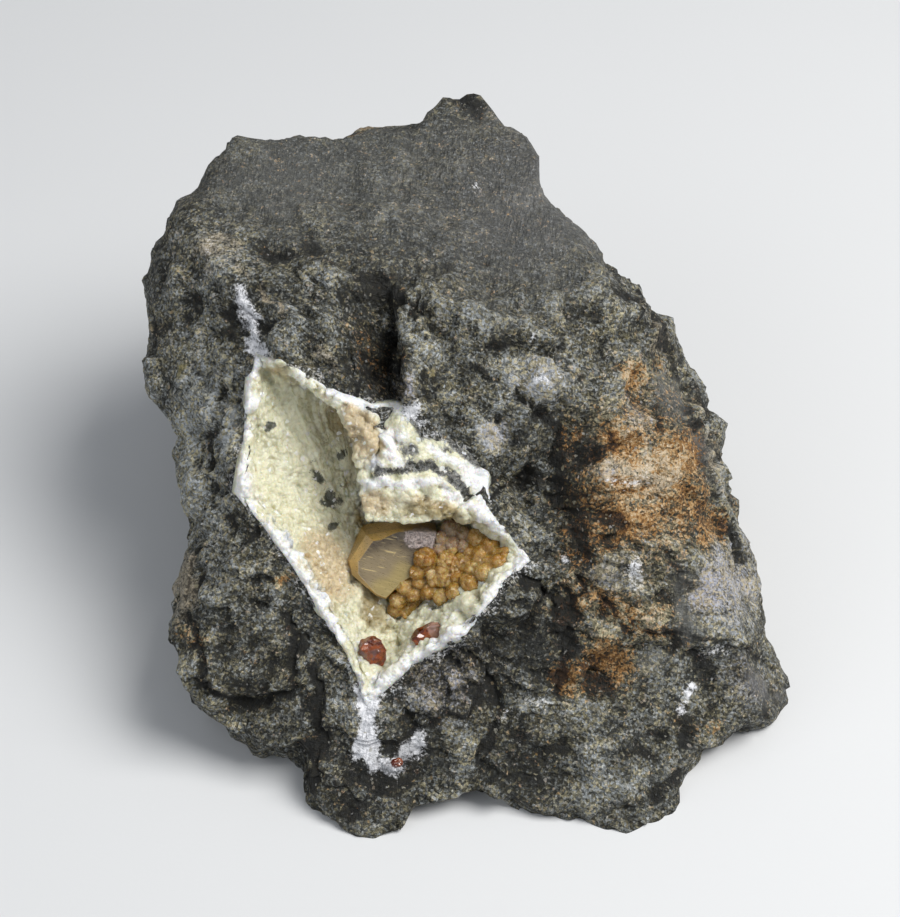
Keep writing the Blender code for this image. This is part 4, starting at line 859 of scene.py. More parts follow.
def beside_line(seen, line):
    """How far each seen place is to the right of a line through some places, and how far past its ends."""
    line = np.array(line)
    best = np.full(seen.shape[:-1], 1e9)
    right_hand = np.zeros_like(best)
    past = np.zeros_like(best)
    for a, b in zip(line[:-1], line[1:]):
        length = np.hypot(*(b - a))
        heading = (b - a) / length
        away = seen - a
        along = away @ heading
        over = along - np.clip(along, 0.0, length)
        across = away[..., 0] * heading[1] - away[..., 1] * heading[0]
        distance = over * over + across * across
        nearer = distance < best
        best = np.where(nearer, distance, best)
        right_hand = np.where(nearer, across, right_hand)
        past = np.where(nearer, np.abs(over), past)
    return right_hand, past


def band_amount(seen, width, line):
    """1 on a line through some seen places, falling to 0 past its half width and its ends."""
    across, past = beside_line(seen, line)
    return np.exp(-((across * across + past * past) / (width * width)) ** BAND_EDGE)


def drawn_out(points, heading, length):
    """Points squeezed along a heading on the face, which draws out the pattern that is read there."""
    along = np.array([*cos_sin(heading), 0.0])
    return points - (points @ along)[..., None] * along * (1.0 - 1.0 / length)


def crack_depth(seen, points):
    """Depth in millimetres of the cracks: grooves on lines, and where a random swell is nearly 0."""
    depth = np.zeros(seen.shape[:-1])
    for width, deep, line in CRACKS:
        across, past = beside_line(seen, line)
        depth = np.maximum(depth, deep * np.exp(-(across * across + past * past) / (width * width)))
    for size, deep, width, seed in STRAY_CRACKS:
        level = swell(points, size, seed) / width
        depth = np.maximum(depth, deep * np.exp(-level * level))
    return depth


def scarp_height(seen):
    """Height in millimetres of the scarps: steps across lines that ease out on both sides and at the ends."""
    height = np.zeros(seen.shape[:-1])
    for width, rise, fade, line in SCARPS:
        across, past = beside_line(seen, line)
        step = np.tanh(across / width) * np.exp(-(across / fade) ** 2 - (past / SCARP_END) ** 2)
        height += rise / 2.0 * step
    return height


def beyond_crust(seen):
    """How far each seen place lies outside the crust's outer edge, along the ray from the pocket's middle."""
    away = seen - POCKET_CENTRE
    angle = np.arctan2(away[..., 1], away[..., 0])
    reach = outline_reach(CRUST_EDGE, POCKET_CENTRE, angle.ravel()).reshape(angle.shape)
    return np.hypot(away[..., 0], away[..., 1]) - reach


def fine_parts(points):
    """The rock's finest unevenness as its height in millimetres, and how deep its creases and cracks are from 0
    to 1, which the finish darkens as painted shade.
    """
    seen = wandered(seen_at(points), points, PATCH_WANDER[1:])
    shown = shown_share(points)
    calm = patch_amount(seen, TONES["smooth"]) * shown
    chips = add_layers(np.zeros(len(points)), chip, points, FINE_CHIPS + FLAKES, FINE_CHIP_SHARPNESS)
    chips = add_layers(chips, swell, points, FINE_SWELLS)
    streaks = add_layers(np.zeros(len(points)), swell, points, SLAB_STREAKS)
    cracks = crack_depth(seen, points) * (1.0 - CALM_CRACKS * calm)
    near_rim = LEAST_NEAR_RIM + (1.0 - LEAST_NEAR_RIM) * smooth(beyond_crust(seen) / NEAR_RIM)
    side_calm = 1.0 - FINE_SIDE_CALM * sideways(unit(points - rock_centre()))
    height = (chips * (1.0 - CALM_CHIPS * calm) + streaks * calm - cracks) * near_rim * side_calm
    height += scarp_height(seen) * shown
    # Painted shade: the cracks and the chips' hollows make the creases that the finish darkens
    shaded_crease = smooth((cracks - CREASE_BY_CHIPS * chips * (1.0 - calm) - CREASE_START) / CREASE_DEPTH)
    return settings().rock.relief * height, shaded_crease


def finished_reach(direction):
    """Distance from the rock's centre to its finished surface in each direction."""
    reach = rock_reach(direction)
    return reach + fine_parts(rock_centre() + reach[:, None] * direction)[0]


def face_out(seen):
    """How far out the rock's surface is at each seen place, found by halving the stretch that holds it."""
    inside = np.full(len(seen), CENTRE_OUT)
    outside = np.full(len(seen), -CENTRE_OUT)
    for _ in range(HALVINGS):
        middle = (inside + outside) / 2.0
        arm = behind(seen, middle) - rock_centre()
        distance = np.linalg.norm(arm, axis=1)
        beyond = distance > rock_reach(arm / distance[:, None])
        inside = np.where(beyond, inside, middle)
        outside = np.where(beyond, middle, outside)
    return (inside + outside) / 2.0


def pocket_directions(count):
    """Directions round the pocket's centre, in radians, that space points evenly along the edge of the lip."""
    fine = np.linspace(0.0, TURN, EDGE_SAMPLES)
    edge = outward(fine, outline_reach(CRUST_LIP, POCKET_CENTRE, fine))
    length = np.concatenate([[0.0], np.cumsum(np.hypot(*np.diff(edge, axis=0).T))])
    return np.interp(np.arange(count) * length[-1] / count, length, fine)


def outward(angle, reach):
    """Seen places at a distance from the pocket's centre in each direction."""
    return POCKET_CENTRE + np.column_stack([np.cos(angle), np.sin(angle)]) * np.asarray(reach)[:, None]


def pocket_shape(angle):
    """For each direction: reach of the crust's edge and of its lip, the undercut, and how much it overhangs."""
    outer = outline_reach(CRUST_EDGE, POCKET_CENTRE, angle)
    inner = np.minimum(outline_reach(CRUST_LIP, POCKET_CENTRE, angle), outer - NARROWEST_RIM)
    table = np.array(UNDERCUT)
    under = np.column_stack([around(table[:, [0, column]], np.degrees(angle)) for column in (1, 2)])
    return outer, inner, under, np.clip(np.hypot(*under.T) / FULL_UNDERCUT, 0.0, 1.0)


def cut_by_wall(depth, seen, wall, grow):
    """Depths made no deeper than one flat wall of the pocket, with a soft edge between."""
    right, up, inward, steepness = wall
    along = (seen - np.array([right, up])) @ np.array(cos_sin(inward))
    return soft_least(depth, along * steepness + grow * WALL_STRETCH, WALL_SOFTNESS)


def floor_depth(seen, grow):
    """Depth of the pocket's floor and sloping sides at each seen place, without the wall under its top edge."""
    depth = np.full(len(seen), POCKET_DEPTH + grow)
    for wall in POCKET_WALLS.values():
        depth = cut_by_wall(depth, seen, wall, grow)
    return np.maximum(depth, 0.0)


def wall_depth(seen, from_rim, grow):
    """Depth of the open pocket at each seen place: the shallowest of its flat walls and its floor."""
    depth = cut_by_wall(floor_depth(seen, grow), seen, TOP_WALL, grow)
    return np.minimum(np.maximum(depth, 0.0), from_rim * RIM_STEEPNESS + grow)


def ring_reach(reach, share):
    """A share of the way to the rim, on rings that grow rounder towards the pocket's middle."""
    rounder = 0.5 * reach + 0.5 * reach.mean()
    return share * (reach * share + rounder * (1.0 - share))


def mixed(open_part, lip_part, overhang):
    """The open wall where nothing overhangs, and the wall under the lip where it does."""
    if open_part.ndim == 2:
        overhang = overhang[:, None]
    return open_part * (1.0 - overhang) + lip_part * overhang


def front_stations(angle):
    """The crust's open side from its edge to the pocket's middle, as (seen place, depth below the face)."""
    outer, inner, under, overhang = pocket_shape(angle)
    lip = outward(angle, inner)
    shoulder = mixed(np.minimum(floor_depth(lip, 0.0), RIM_SHOULDER), RIM_DROP, overhang)
    stations = []
    for share in RIM_SHARES:
        depth = EDGE_DROP - RIM_RISE * math.sin(math.pi * share) + shoulder * share * share
        stations.append((outward(angle, outer + (inner - outer) * share), depth))
    for share, (slide, drop) in zip(WALL_SHARES, LIP_STEPS):
        reach = ring_reach(inner, share)
        seen, under_lip = outward(angle, reach), lip + under * slide
        open_depth = np.maximum(wall_depth(seen, inner - reach, 0.0), shoulder)
        lip_depth = floor_depth(under_lip, 0.0) * drop
        stations.append((mixed(seen, under_lip, overhang), mixed(open_depth, lip_depth, overhang)))
    for share in FLOOR_SHARES:
        reach = ring_reach(inner, share)
        seen = outward(angle, reach)
        stations.append((seen, mixed(wall_depth(seen, inner - reach, 0.0), floor_depth(seen, 0.0), overhang)))
    return stations


def back_stations(angle, grow):
    """The crust's hidden side against the rock, grown by a clearance for the rock's hole."""
    outer, inner, under, overhang = pocket_shape(angle)
    thick = CRUST_THICKNESS + grow
    stretch = 1.0 + (LIP_THICKNESS + grow) / np.maximum(np.hypot(*under.T), 1.0)[:, None]
    stations = []
    for share, (slide, drop) in zip(BACK_WALL_SHARES, BACK_LIP_STEPS):
        reach = ring_reach(outer, share)
        seen = outward(angle, reach)
        lip_side = outward(angle, inner + 2.0 * grow) + under * stretch * slide
        depth = mixed(wall_depth(seen, outer - reach, thick), floor_depth(lip_side, thick) * drop, overhang)
        stations.append((mixed(seen, lip_side, overhang), depth))
    for share in BACK_FLOOR_SHARES:
        reach = ring_reach(outer, share)
        seen = outward(angle, reach)
        depth = mixed(wall_depth(seen, outer - reach, thick), floor_depth(seen, thick), overhang)
        stations.append((seen, depth))
    return stations


def ring_points(stations, angle, rim):
    """Rings of points for (seen place, depth) stations, below a level carried across from the rim."""
    outer = outline_reach(CRUST_EDGE, POCKET_CENTRE, angle)
    rings = []
    for seen, depth in stations:
        share = np.clip(np.linalg.norm(seen - POCKET_CENTRE, axis=1) / outer, 0.0, 1.0) ** 2
        rings.append(behind(seen, rim * share + rim.mean() * (1.0 - share) - depth))
    return rings


def knobs(points):
    """Rounded knobs of the crust."""
    height = np.zeros(points.shape[:-1])
    for size, rise, seed in CRUST_KNOBS:
        height += rise * np.abs(swell(points, size, seed)) * KNOB_HEIGHT - rise * KNOB_LEVEL
    return height


def place_on_map(direction):
    """Directions as places on a flat map, in complex numbers: straight up is 0, level has length 1."""
    world = direction @ FACE_AXES
    return (world[..., 0] + 1j * world[..., 1]) / (1.0 + world[..., 2])


def direction_of(place):
    """The directions, as (right, up, out), of places on the flat map."""
    square = np.abs(place) ** 2
    world = np.stack([2.0 * place.real, 2.0 * place.imag, 1.0 - square], axis=-1)
    return world / (1.0 + square)[..., None] @ FACE_AXES.T


def unit(vectors):
    """Vectors scaled to length 1."""
    return vectors / np.linalg.norm(vectors, axis=-1, keepdims=True)


def ground_place(middle, turn):
    """How far from the map's middle each ray meets the ground, found by halving."""
    near = np.full(len(turn), math.log(GROUND_NEAREST))
    far = np.full(len(turn), math.log(GROUND_FURTHEST))
    for _ in range(GROUND_HALVINGS):
        between = (near + far) / 2.0
        direction = direction_of(middle + np.exp(between + 1j * turn))
        reach = rock_reach(direction)
        above = to_world(rock_centre() + reach[:, None] * direction)[:, 2] > 0.0
        near = np.where(above, between, near)
        far = np.where(above, far, between)
    return far


def rock_rings(around_count, ring_count):
    """The rock as rings from deep in its pocket, over the face, sides and back, to the middle of its underside.

    On a flat map of all directions, rays fan out from the pocket. A ring is a share of the way along every ray,
    measured in the logarithm of its length, so that rings are close together near the pocket and the underside
    gets few of them. The first rings follow the crust's outline and later ones turn into a round fan.
    """
    angle = pocket_directions(around_count)
    outer = outline_reach(CRUST_EDGE, POCKET_CENTRE, angle)
    edge = outward(angle, outer - HOLE_TUCK)
    arm = behind(edge, face_out(edge)) - rock_centre()
    start = place_on_map(unit(arm))
    pocket_out = face_out(POCKET_CENTRE[None])
    middle = place_on_map(unit(behind(POCKET_CENTRE[None], pocket_out) - rock_centre()))[0]
    turn = np.unwrap(np.angle(start - middle))
    even = np.arange(around_count) * TURN / around_count
    even = even + (turn - even).mean()
    share = np.linspace(0.0, 1.0, ring_count)[:, None]
    ease = smooth(share / EVEN_FROM)
    length = (1.0 - share) * np.log(np.abs(start - middle)) + share * ground_place(middle, even)
    direction = direction_of(middle + np.exp(length + 1j * (turn * (1.0 - ease) + even * ease))).reshape(-1, 3)
    points = rock_centre() + finished_reach(direction)[:, None] * direction
    surface = to_world(points).reshape(ring_count, around_count, 3)
    surface[:, :, 2] = np.maximum(surface[:, :, 2], 0.0)
    surface[-1, :, 2] = 0.0
    rim = face_out(outward(angle, outer))
    hole = to_world(np.array(ring_points(back_stations(angle, HOLE_ROOM), angle, rim))[::-1])
    ground = surface[-1]
    under_middle = ground.mean(axis=0)
    under = under_middle + (ground - under_middle) * UNDERSIDE_SHARES[:, None, None]
    rise = UNDERSIDE_RISE * np.abs(swell(under, *UNDERSIDE_SWELL))
    under[:, :, 2] = rise * smooth((1.0 - UNDERSIDE_SHARES) * UNDERSIDE_EDGE)[:, None]
    return hole, surface, under


def all_round(spokes, tilts):
    """Rings of directions round the way out of the face: one ring for each tilt away from it, in radians."""
    turn = np.arange(spokes) * TURN / spokes
    tilt = tilts[:, None]
    level = np.sin(tilt)
    return np.stack([level * np.cos(turn), level * np.sin(turn), np.cos(tilt) * np.ones_like(turn)], axis=-1)


def add_surface(name, rings, attributes, finish):
    """A closed mesh through rings of points in millimetres, each ring anticlockwise seen from the first one.

    Each pair of rings is joined by a band of four-sided faces, and the first and last ring by a fan to their
    middle. Attributes are arrays with a value for each point of the rings, and the tips take their ring's mean.
    """
    count, around_count = rings.shape[:2]
    index = np.arange(count * around_count).reshape(count, around_count)
    after = np.roll(index, -1, axis=1)
    bands = np.stack([index[:-1], index[1:], after[1:], after[:-1]], axis=-1).reshape(-1, 4)
    first_tip, last_tip = count * around_count, count * around_count + 1
    first_fan = np.stack([np.full(around_count, first_tip), index[0], after[0]], axis=-1)
    last_fan = np.stack([np.full(around_count, last_tip), after[-1], index[-1]], axis=-1)
    corners = np.concatenate([bands.ravel(), first_fan.ravel(), last_fan.ravel()])
    fans = len(bands) * 4 + np.arange(2 * around_count) * 3
    starts = np.concatenate([np.arange(len(bands)) * 4, fans])
    tips = np.stack([rings[0].mean(axis=0), rings[-1].mean(axis=0)])
    points = np.concatenate([rings.reshape(-1, 3), tips]) * MM
    mesh = bpy.data.meshes.new(name)
    mesh.vertices.add(len(points))
    mesh.vertices.foreach_set("co", points.ravel().astype(np.float32))
    mesh.loops.add(len(corners))
    mesh.loops.foreach_set("vertex_index", corners.astype(np.int32))
    mesh.polygons.add(len(starts))
    mesh.polygons.foreach_set("loop_start", starts.astype(np.int32))
    mesh.polygons.foreach_set("use_smooth", np.ones(len(starts), bool))
    mesh.update(calc_edges=True)
    mesh.validate()
    for attribute, values in attributes.items():
        ends = np.stack([values[0].mean(axis=0), values[-1].mean(axis=0)])
        colours = np.concatenate([values.reshape(-1, 4), ends])
        layer = mesh.attributes.new(attribute, "FLOAT_COLOR", "POINT")
        layer.data.foreach_set("color", colours.ravel().astype(np.float32))
    mesh.materials.append(finish)
    piece = bpy.data.objects.new(name, mesh)
    bpy.context.scene.collection.objects.link(piece)
    return piece


def wear(piece, slot, *nodes):
    """The piece rides on the rock's body and stands for its CAD nodes, which it hides. The slot is not used."""
    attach(piece, "root")
    if nodes:
        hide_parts(*nodes)


def ring_normals(rings):
    """Directions square on to a surface of rings: the cross product of the steps outward and around."""
    outward_step = np.gradient(rings, axis=0)
    around_step = np.roll(rings, -1, axis=1) - np.roll(rings, 1, axis=1)
    return unit(np.cross(outward_step, around_step) + 1e-12)


def curve_through(stations, counts):
    """More rings on smooth curves through the given ones: Catmull-Rom pieces, each cut into its own count."""
    padded = np.concatenate([stations[:1], stations, stations[-1:]])
    made = []
    for number, count in enumerate(counts):
        a, b, c, d = padded[number:number + 4]
        t = np.arange(count)[:, None, None] / count
        bend = (2.0 * a - 5.0 * b + 4.0 * c - d) * t * t + (3.0 * (b - c) + d - a) * t * t * t
        made.append(b + 0.5 * ((c - a) * t + bend))
    return np.concatenate(made + [stations[-1:]])


def scaled(colour, share):
    """A colour with each of its parts multiplied by a share."""
    return [part * share for part in colour]


class Finish:
    """A procedural material being wired up. Each method adds a node and gives back its result."""

    def __init__(self, name, **fixed):
        self.material = bpy.data.materials.new(name)
        self.material.use_nodes = True
        self.tree = self.material.node_tree
        self.surface = self.tree.nodes["Principled BSDF"]
        for socket, value in fixed.items():
            self.surface.inputs[socket.replace("_", " ")].default_value = value
        self.place = self.tree.nodes.new("ShaderNodeTexCoord").outputs["Object"]

    def node(self, kind, inputs, output=0, **choices):
        """One node with its inputs linked or set, its choices made, and one of its outputs given back."""
        made = self.tree.nodes.new("ShaderNode" + kind)
        for name, value in choices.items():
            setattr(made, name, value)
        for key, value in inputs.items():
            if isinstance(value, bpy.types.NodeSocket):
                self.tree.links.new(value, made.inputs[key])
            else:
                made.inputs[key].default_value = value
        return made.outputs[output]

    def on_face(self, right, up, out, turn=0.0):
        """The place as right, up and out of the face, turned by some degrees and drawn out by these factors."""
        leaning = {"Vector": self.place, "Rotation": (FACE_LEAN, 0.0, 0.0)}
        level = self.node("Mapping", leaning, vector_type="TEXTURE")
        turned = {"Vector": level, "Rotation": (0.0, 0.0, math.radians(turn)), "Scale": (right, up, out)}
        return self.node("Mapping", turned, vector_type="TEXTURE")

    def jogged(self, size, far):
        """The place pushed about by noise, which makes the patterns read there irregular."""
        push = self.node("TexNoise", {"Vector": self.place, "Scale": 1.0 / (size * MM), "Detail": 1.0}, 1)
        centred = self.node("VectorMath", {0: push, 1: (0.5, 0.5, 0.5)}, operation="SUBTRACT")
        scaled = self.node("VectorMath", {0: centred, 3: far * MM}, operation="SCALE")
        return self.node("VectorMath", {0: self.place, 1: scaled}, operation="ADD")

    def facets(self, size, place=None):
        """Height in millimetres of flat facets: each cell of about "size" millimetres is tilted its own way."""
        place = place or self.place
        cell = self.node("TexVoronoi", {"Vector": place, "Scale": 1.0 / (size * MM)}, "Position").node
        away = self.node("VectorMath", {0: place, 1: cell.outputs["Position"]}, operation="SUBTRACT")
        lean = self.node("VectorMath", {0: cell.outputs["Color"], 1: (0.5, 0.5, 0.5)}, operation="SUBTRACT")
        slope = self.node("VectorMath", {0: away, 1: lean}, "Value", operation="DOT_PRODUCT")
        return self.times(slope, 1.0 / MM)

    def noise(self, size, detail=3.0, roughness=0.6, place=None, distortion=0.0):
        """Cloudy noise whose largest blobs are "size" millimetres."""
        inputs = {"Vector": place or self.place, "Scale": 1.0 / (size * MM), "Detail": detail}
        inputs.update({"Roughness": roughness, "Distortion": distortion})
        return self.node("TexNoise", inputs)

    def cells(self, size, output="Color", place=None, feature="F1"):
        """A random colour, or the distance from the middle, for each cell of about "size" millimetres."""
        inputs = {"Vector": place or self.place, "Scale": 1.0 / (size * MM)}
        return self.node("TexVoronoi", inputs, output, feature=feature)

    def times(self, a, b):
        """Two values multiplied."""
        return self.node("Math", {0: a, 1: b}, operation="MULTIPLY")

    def total(self, shares, start=0.0):
        """A start value plus each value times its share."""
        result = start
        for value, share in shares:
            result = self.node("Math", {0: value, 1: share, 2: result}, operation="MULTIPLY_ADD")
        return result

    def random_three(self, size, place):
        """Three random numbers for each cell of about "size" metres."""
        first = self.node("SeparateColor", {0: self.cells(size / MM, place=place)})
        return first, first.node.outputs[1], first.node.outputs[2]

    def eased(self, value, low, high):
        """0 below "low", 1 above "high", with a smooth step between."""
        inputs = {"Value": value, "From Min": low, "From Max": high}
        return self.node("MapRange", inputs, interpolation_type="SMOOTHSTEP")

    def ramp(self, value, stops):
        """Colours at places from 0 to 1."""
        made = self.tree.nodes.new("ShaderNodeValToRGB")
        self.tree.links.new(value, made.inputs[0])
        elements = made.color_ramp.elements
        while len(elements) < len(stops):
            elements.new(0.5)
        for element, (position, colour) in zip(elements, stops):
            element.position = position
            element.color = (*colour, 1.0)
        return made.outputs[0]

    def mix(self, amount, a, b, blend="MIX"):
        """Colour a with colour b laid over it."""
        a, b = (tuple(c) + (1.0,) if not isinstance(c, bpy.types.NodeSocket) else c for c in (a, b))
        return self.node("Mix", {0: amount, 6: a, 7: b}, 2, data_type="RGBA", blend_type=blend)

    def laid(self, under, over, where, low, high, strength=None):
        """Colour "over" laid on "under" as a value, or a sum of shares, goes from "low" to "high"."""
        amount = self.eased(self.total(where) if isinstance(where, list) else where, low, high)
        return self.mix(self.times(amount, strength) if strength else amount, under, over)

    def masks(self, attribute):
        """The four numbers that a mesh carries at each point under this name."""
        made = self.tree.nodes.new("ShaderNodeAttribute")
        made.attribute_name = attribute
        parts = self.tree.nodes.new("ShaderNodeSeparateColor")
        self.tree.links.new(made.outputs["Color"], parts.inputs[0])
        return parts.outputs[0], parts.outputs[1], parts.outputs[2], made.outputs["Alpha"]

    def bump(self, height, rise, normal=None):
        """Fine relief "rise" millimetres high, over another bump if one is given."""
        inputs = {"Height": height, "Distance": rise * MM, "Strength": 1.0}
        if normal:
            inputs["Normal"] = normal
        return self.node("Bump", inputs)

    def wire(self, **sockets):
        """Feeds results into the surface and gives the finished material."""
        for name, result in sockets.items():
            self.tree.links.new(result, self.surface.inputs[name.replace("_", " ")])
        return self.material

    def clear_inside(self, colour, density):
        """What light loses inside: plain absorption of this colour."""
        inside = self.tree.nodes.new("ShaderNodeVolumeAbsorption")
        inside.inputs["Color"].default_value = (*colour, 1.0)
        inside.inputs["Density"].default_value = density
        self.tree.links.new(inside.outputs[0], self.tree.nodes["Material Output"].inputs["Volume"])


def rock_finish(values):
    """Dark fine-grained rock: black, brown, grey and pale grains, with rust, tan, white and olive stains,
    painted shade in its cracks, creases and some dark patches, painted light on its crests, and painted glints
    on rare grains.
    """
    f = Finish("dark_rock", Specular_IOR_Level=0.4)
    rust, tan, white, olive = f.masks("stains")
    # The dark tones are partly the rock's own darker tone and partly painted shade
    pale, dark, lilac, calm = f.masks("tones")
    # The wear attribute holds painted shade for the creases and cracks and painted light for the crests, not
    # wear
    shaded_crease, lit_crest, _, _ = f.masks("wear")
    rough = f.total([(calm, -0.85)], 1.0)
    ragged = f.jogged(0.9, 0.5)
    grains, kind, variety = f.random_three(values.grain_size, ragged)
    fine = f.noise(0.26, 2.0, 0.75)
    mottle = f.noise(1.4, 3.0, 0.7)
    cloud = f.noise(8.0, 2.0, 0.6)
    flow = f.noise(0.55, 2.0, 0.65, f.on_face(4.5, 1.0, 1.5, -14.0))
    streaks = f.noise(0.36, 2.0, 0.65, f.on_face(1.0, 9.0, 2.0, -8.0))
    # The level is darkened by painted shade in the creases and lightened by painted light on the crests
    level = f.total([
        (grains, 0.34), (fine, 0.70), (mottle, 0.20), (flow, 0.46), (cloud, 0.12), (pale, 0.24), (lilac, 0.14),
        (dark, -0.24), (shaded_crease, -0.42), (lit_crest, 0.18),
    ])
    light = f.eased(level, 0.50, 1.38)
    colour = f.ramp(light, [
        (0.0, (0.008, 0.008, 0.007)), (0.28, (0.028, 0.028, 0.024)), (0.50, (0.096, 0.095, 0.086)),
        (0.70, (0.195, 0.195, 0.185)), (0.88, (0.33, 0.33, 0.32)), (1.0, (0.52, 0.52, 0.52)),
    ])
    mixture = [(cloud, 0.7), (mottle, 0.3), (variety, 0.8), (rust, 0.6)]
    hue = f.laid(values.cool_tint, values.warm_tint, mixture, 0.68, 1.24)
    warm = f.mix(1.0, colour, hue, "MULTIPLY")
    bare = values.slab_colour
    slab = f.laid(scaled(bare, 0.40), scaled(bare, 1.1), [(streaks, 0.7), (mottle, 0.3)], 0.40, 0.62)
    slab = f.laid(scaled(bare, 0.52), slab, [(cloud, 0.75), (mottle, 0.35)], 0.46, 0.74)
    slab = f.laid(slab, scaled(bare, 1.8), [(streaks, 0.6), (fine, 0.4)], 0.54, 0.70, 0.7)
    # Painted shade: the slabs turn nearly black in their creases and cracks
    slab = f.mix(f.times(shaded_crease, 0.85), slab, (0.012, 0.012, 0.010))
    flat = f.mix(f.times(calm, 0.80), warm, slab)
    tinted = f.mix(f.times(lilac, 0.9), flat, values.lilac_tint, "MULTIPLY")
    patchy = f.total([(mottle, 1.3), (fine, 1.1), (grains, 0.35), (flow, 0.5)])
    rust_colour = f.ramp(light, [
        (0.08, (0.040, 0.020, 0.009)), (0.38, (0.17, 0.076, 0.020)), (0.62, (0.36, 0.18, 0.050)),
        (0.82, (0.49, 0.31, 0.14)), (1.0, (0.62, 0.50, 0.35)),
    ])
    stained = f.laid(tinted, rust_colour, [(rust, 0.9), (patchy, 1.0), (kind, 0.6)], 2.26, 2.80, 0.92)
    tan_colour = f.laid(scaled(values.tan_colour, 0.30), values.tan_colour, level, 0.55, 1.15)
    stained = f.laid(stained, tan_colour, [(tan, 0.9), (patchy, 0.6)], 1.35, 2.05, 0.8)
    stained = f.laid(stained, values.olive_colour, [(olive, 0.9), (patchy, 0.7)], 1.55, 2.20, 0.7)
    vein = f.laid(scaled(values.vein_colour, 0.58), values.vein_colour, level, 0.45, 1.0)
    whiteness = [(white, 1.0), (fine, 1.1), (mottle, 0.6), (grains, 0.35)]
    stained = f.laid(stained, vein, whiteness, 1.28, 1.90, 0.96)
    # Painted glints: rare grains get pale grey and gold colour, and are smoother
    rare = f.times(f.eased(kind, 0.982, 0.992), rough)
    painted_glint = f.ramp(variety, [
        (0.0, (0.36, 0.36, 0.35)), (0.5, (0.30, 0.27, 0.15)),
        (0.8, (0.44, 0.44, 0.44)), (1.0, (0.36, 0.23, 0.07)),
    ])
    stained = f.mix(f.times(rare, 0.6), stained, painted_glint)
    roughness = f.total([(rare, -0.35), (calm, -0.10), (fine, 0.2)], 0.62)
    relief = f.total([(f.facets(1.3), 1.7), (f.facets(0.5), 1.5)])
    facets = f.times(relief, rough)
    height = f.total([(facets, 1.0), (mottle, 0.7), (fine, 0.50), (flow, 0.55), (streaks, 0.60)])
    return f.wire(Base_Color=stained, Roughness=roughness, Normal=f.bump(height, values.grain_relief / MM))


def crust_finish(values):
    """Cream to white crust of tiny clear crystals: painted shade in dull honey in its hollows and under the
    lip, painted light on the tops of its beads, dark spots, and painted glints on bright facets.
    """
    f = Finish("cream_crust", Subsurface_Weight=0.6, Subsurface_Scale=0.0012, Specular_IOR_Level=0.7)
    f.surface.inputs["Subsurface Radius"].default_value = (1.0, 0.8, 0.5)
    # The honey mask is painted shade in a dull honey colour
    white, honey, spot, rock = f.masks("crust")
    # The second attribute holds the tan patches, painted shade in the hollows between beads and painted light
    # on the bead tops
    tan, shaded_hollow, lit_crest, _ = f.masks("crust_tan_and_shading")
    ragged = f.jogged(0.8, 0.4)
    grain = f.noise(0.34, 3.0, 0.75)
    mottle = f.noise(1.7, 3.0, 0.65)
    crystals, kind, dullness = f.random_three(values.facet_size, ragged)
    # Painted light: the tops of the beads are lighter
    shade = f.total([(grain, 0.6), (mottle, 0.65), (crystals, 0.18), (lit_crest, 0.12)])
    cream = f.laid(values.green_colour, values.cream_colour, shade, 0.42, 1.0)
    tan_colour = f.laid(scaled(values.tan_colour, 0.62), values.tan_colour, shade, 0.45, 1.0)
    cream = f.laid(cream, tan_colour, [(tan, 1.0), (shade, 0.8)], 0.85, 1.55, 0.9)
    # The rim and the bead tops are whiter; on the bead tops this is painted light
    colour = f.laid(cream, values.rim_colour, [(white, 1.0), (shade, 0.9), (lit_crest, 0.25)], 0.95, 1.75)
    # Painted shade: the dull honey colour darkens the hollows between beads, the groove and the parts under the
    # lip
    honey_and_shade = [(honey, 1.0), (shaded_hollow, 0.46), (shade, 0.5)]
    colour = f.laid(colour, values.honey_colour, honey_and_shade, 0.70, 1.5, 0.85)
    colour = f.laid(colour, values.spot_colour, [(spot, 1.0), (grain, 1.2)], 0.95, 1.35, 0.9)
    black, grey = (0.03, 0.03, 0.026), (0.30, 0.30, 0.28)
    speckle = f.laid(black, grey, [(grain, 1.0), (crystals, 0.3)], 0.5, 0.85)
    colour = f.laid(colour, speckle, [(rock, 1.0), (grain, 1.2), (crystals, 0.25)], 1.05, 1.50)
    # Painted glints: a few facets are made nearly white, and smoother
    painted_sparkle = f.eased(kind, 0.955, 0.97)
    colour = f.mix(f.times(painted_sparkle, 0.7), colour, (0.95, 0.95, 0.93))
    roughness = f.total([(painted_sparkle, -0.25), (dullness, 0.30)], 0.26)
    size = values.facet_size / MM
    height = f.total([
        (f.facets(size, ragged), 0.7), (f.facets(2.2 * values.facet_size / MM, ragged), 0.5),
        (f.cells(size, "Distance", ragged), -0.12), (grain, 0.10),
    ])
    return f.wire(Base_Color=colour, Roughness=roughness, Normal=f.bump(height, 1.0))


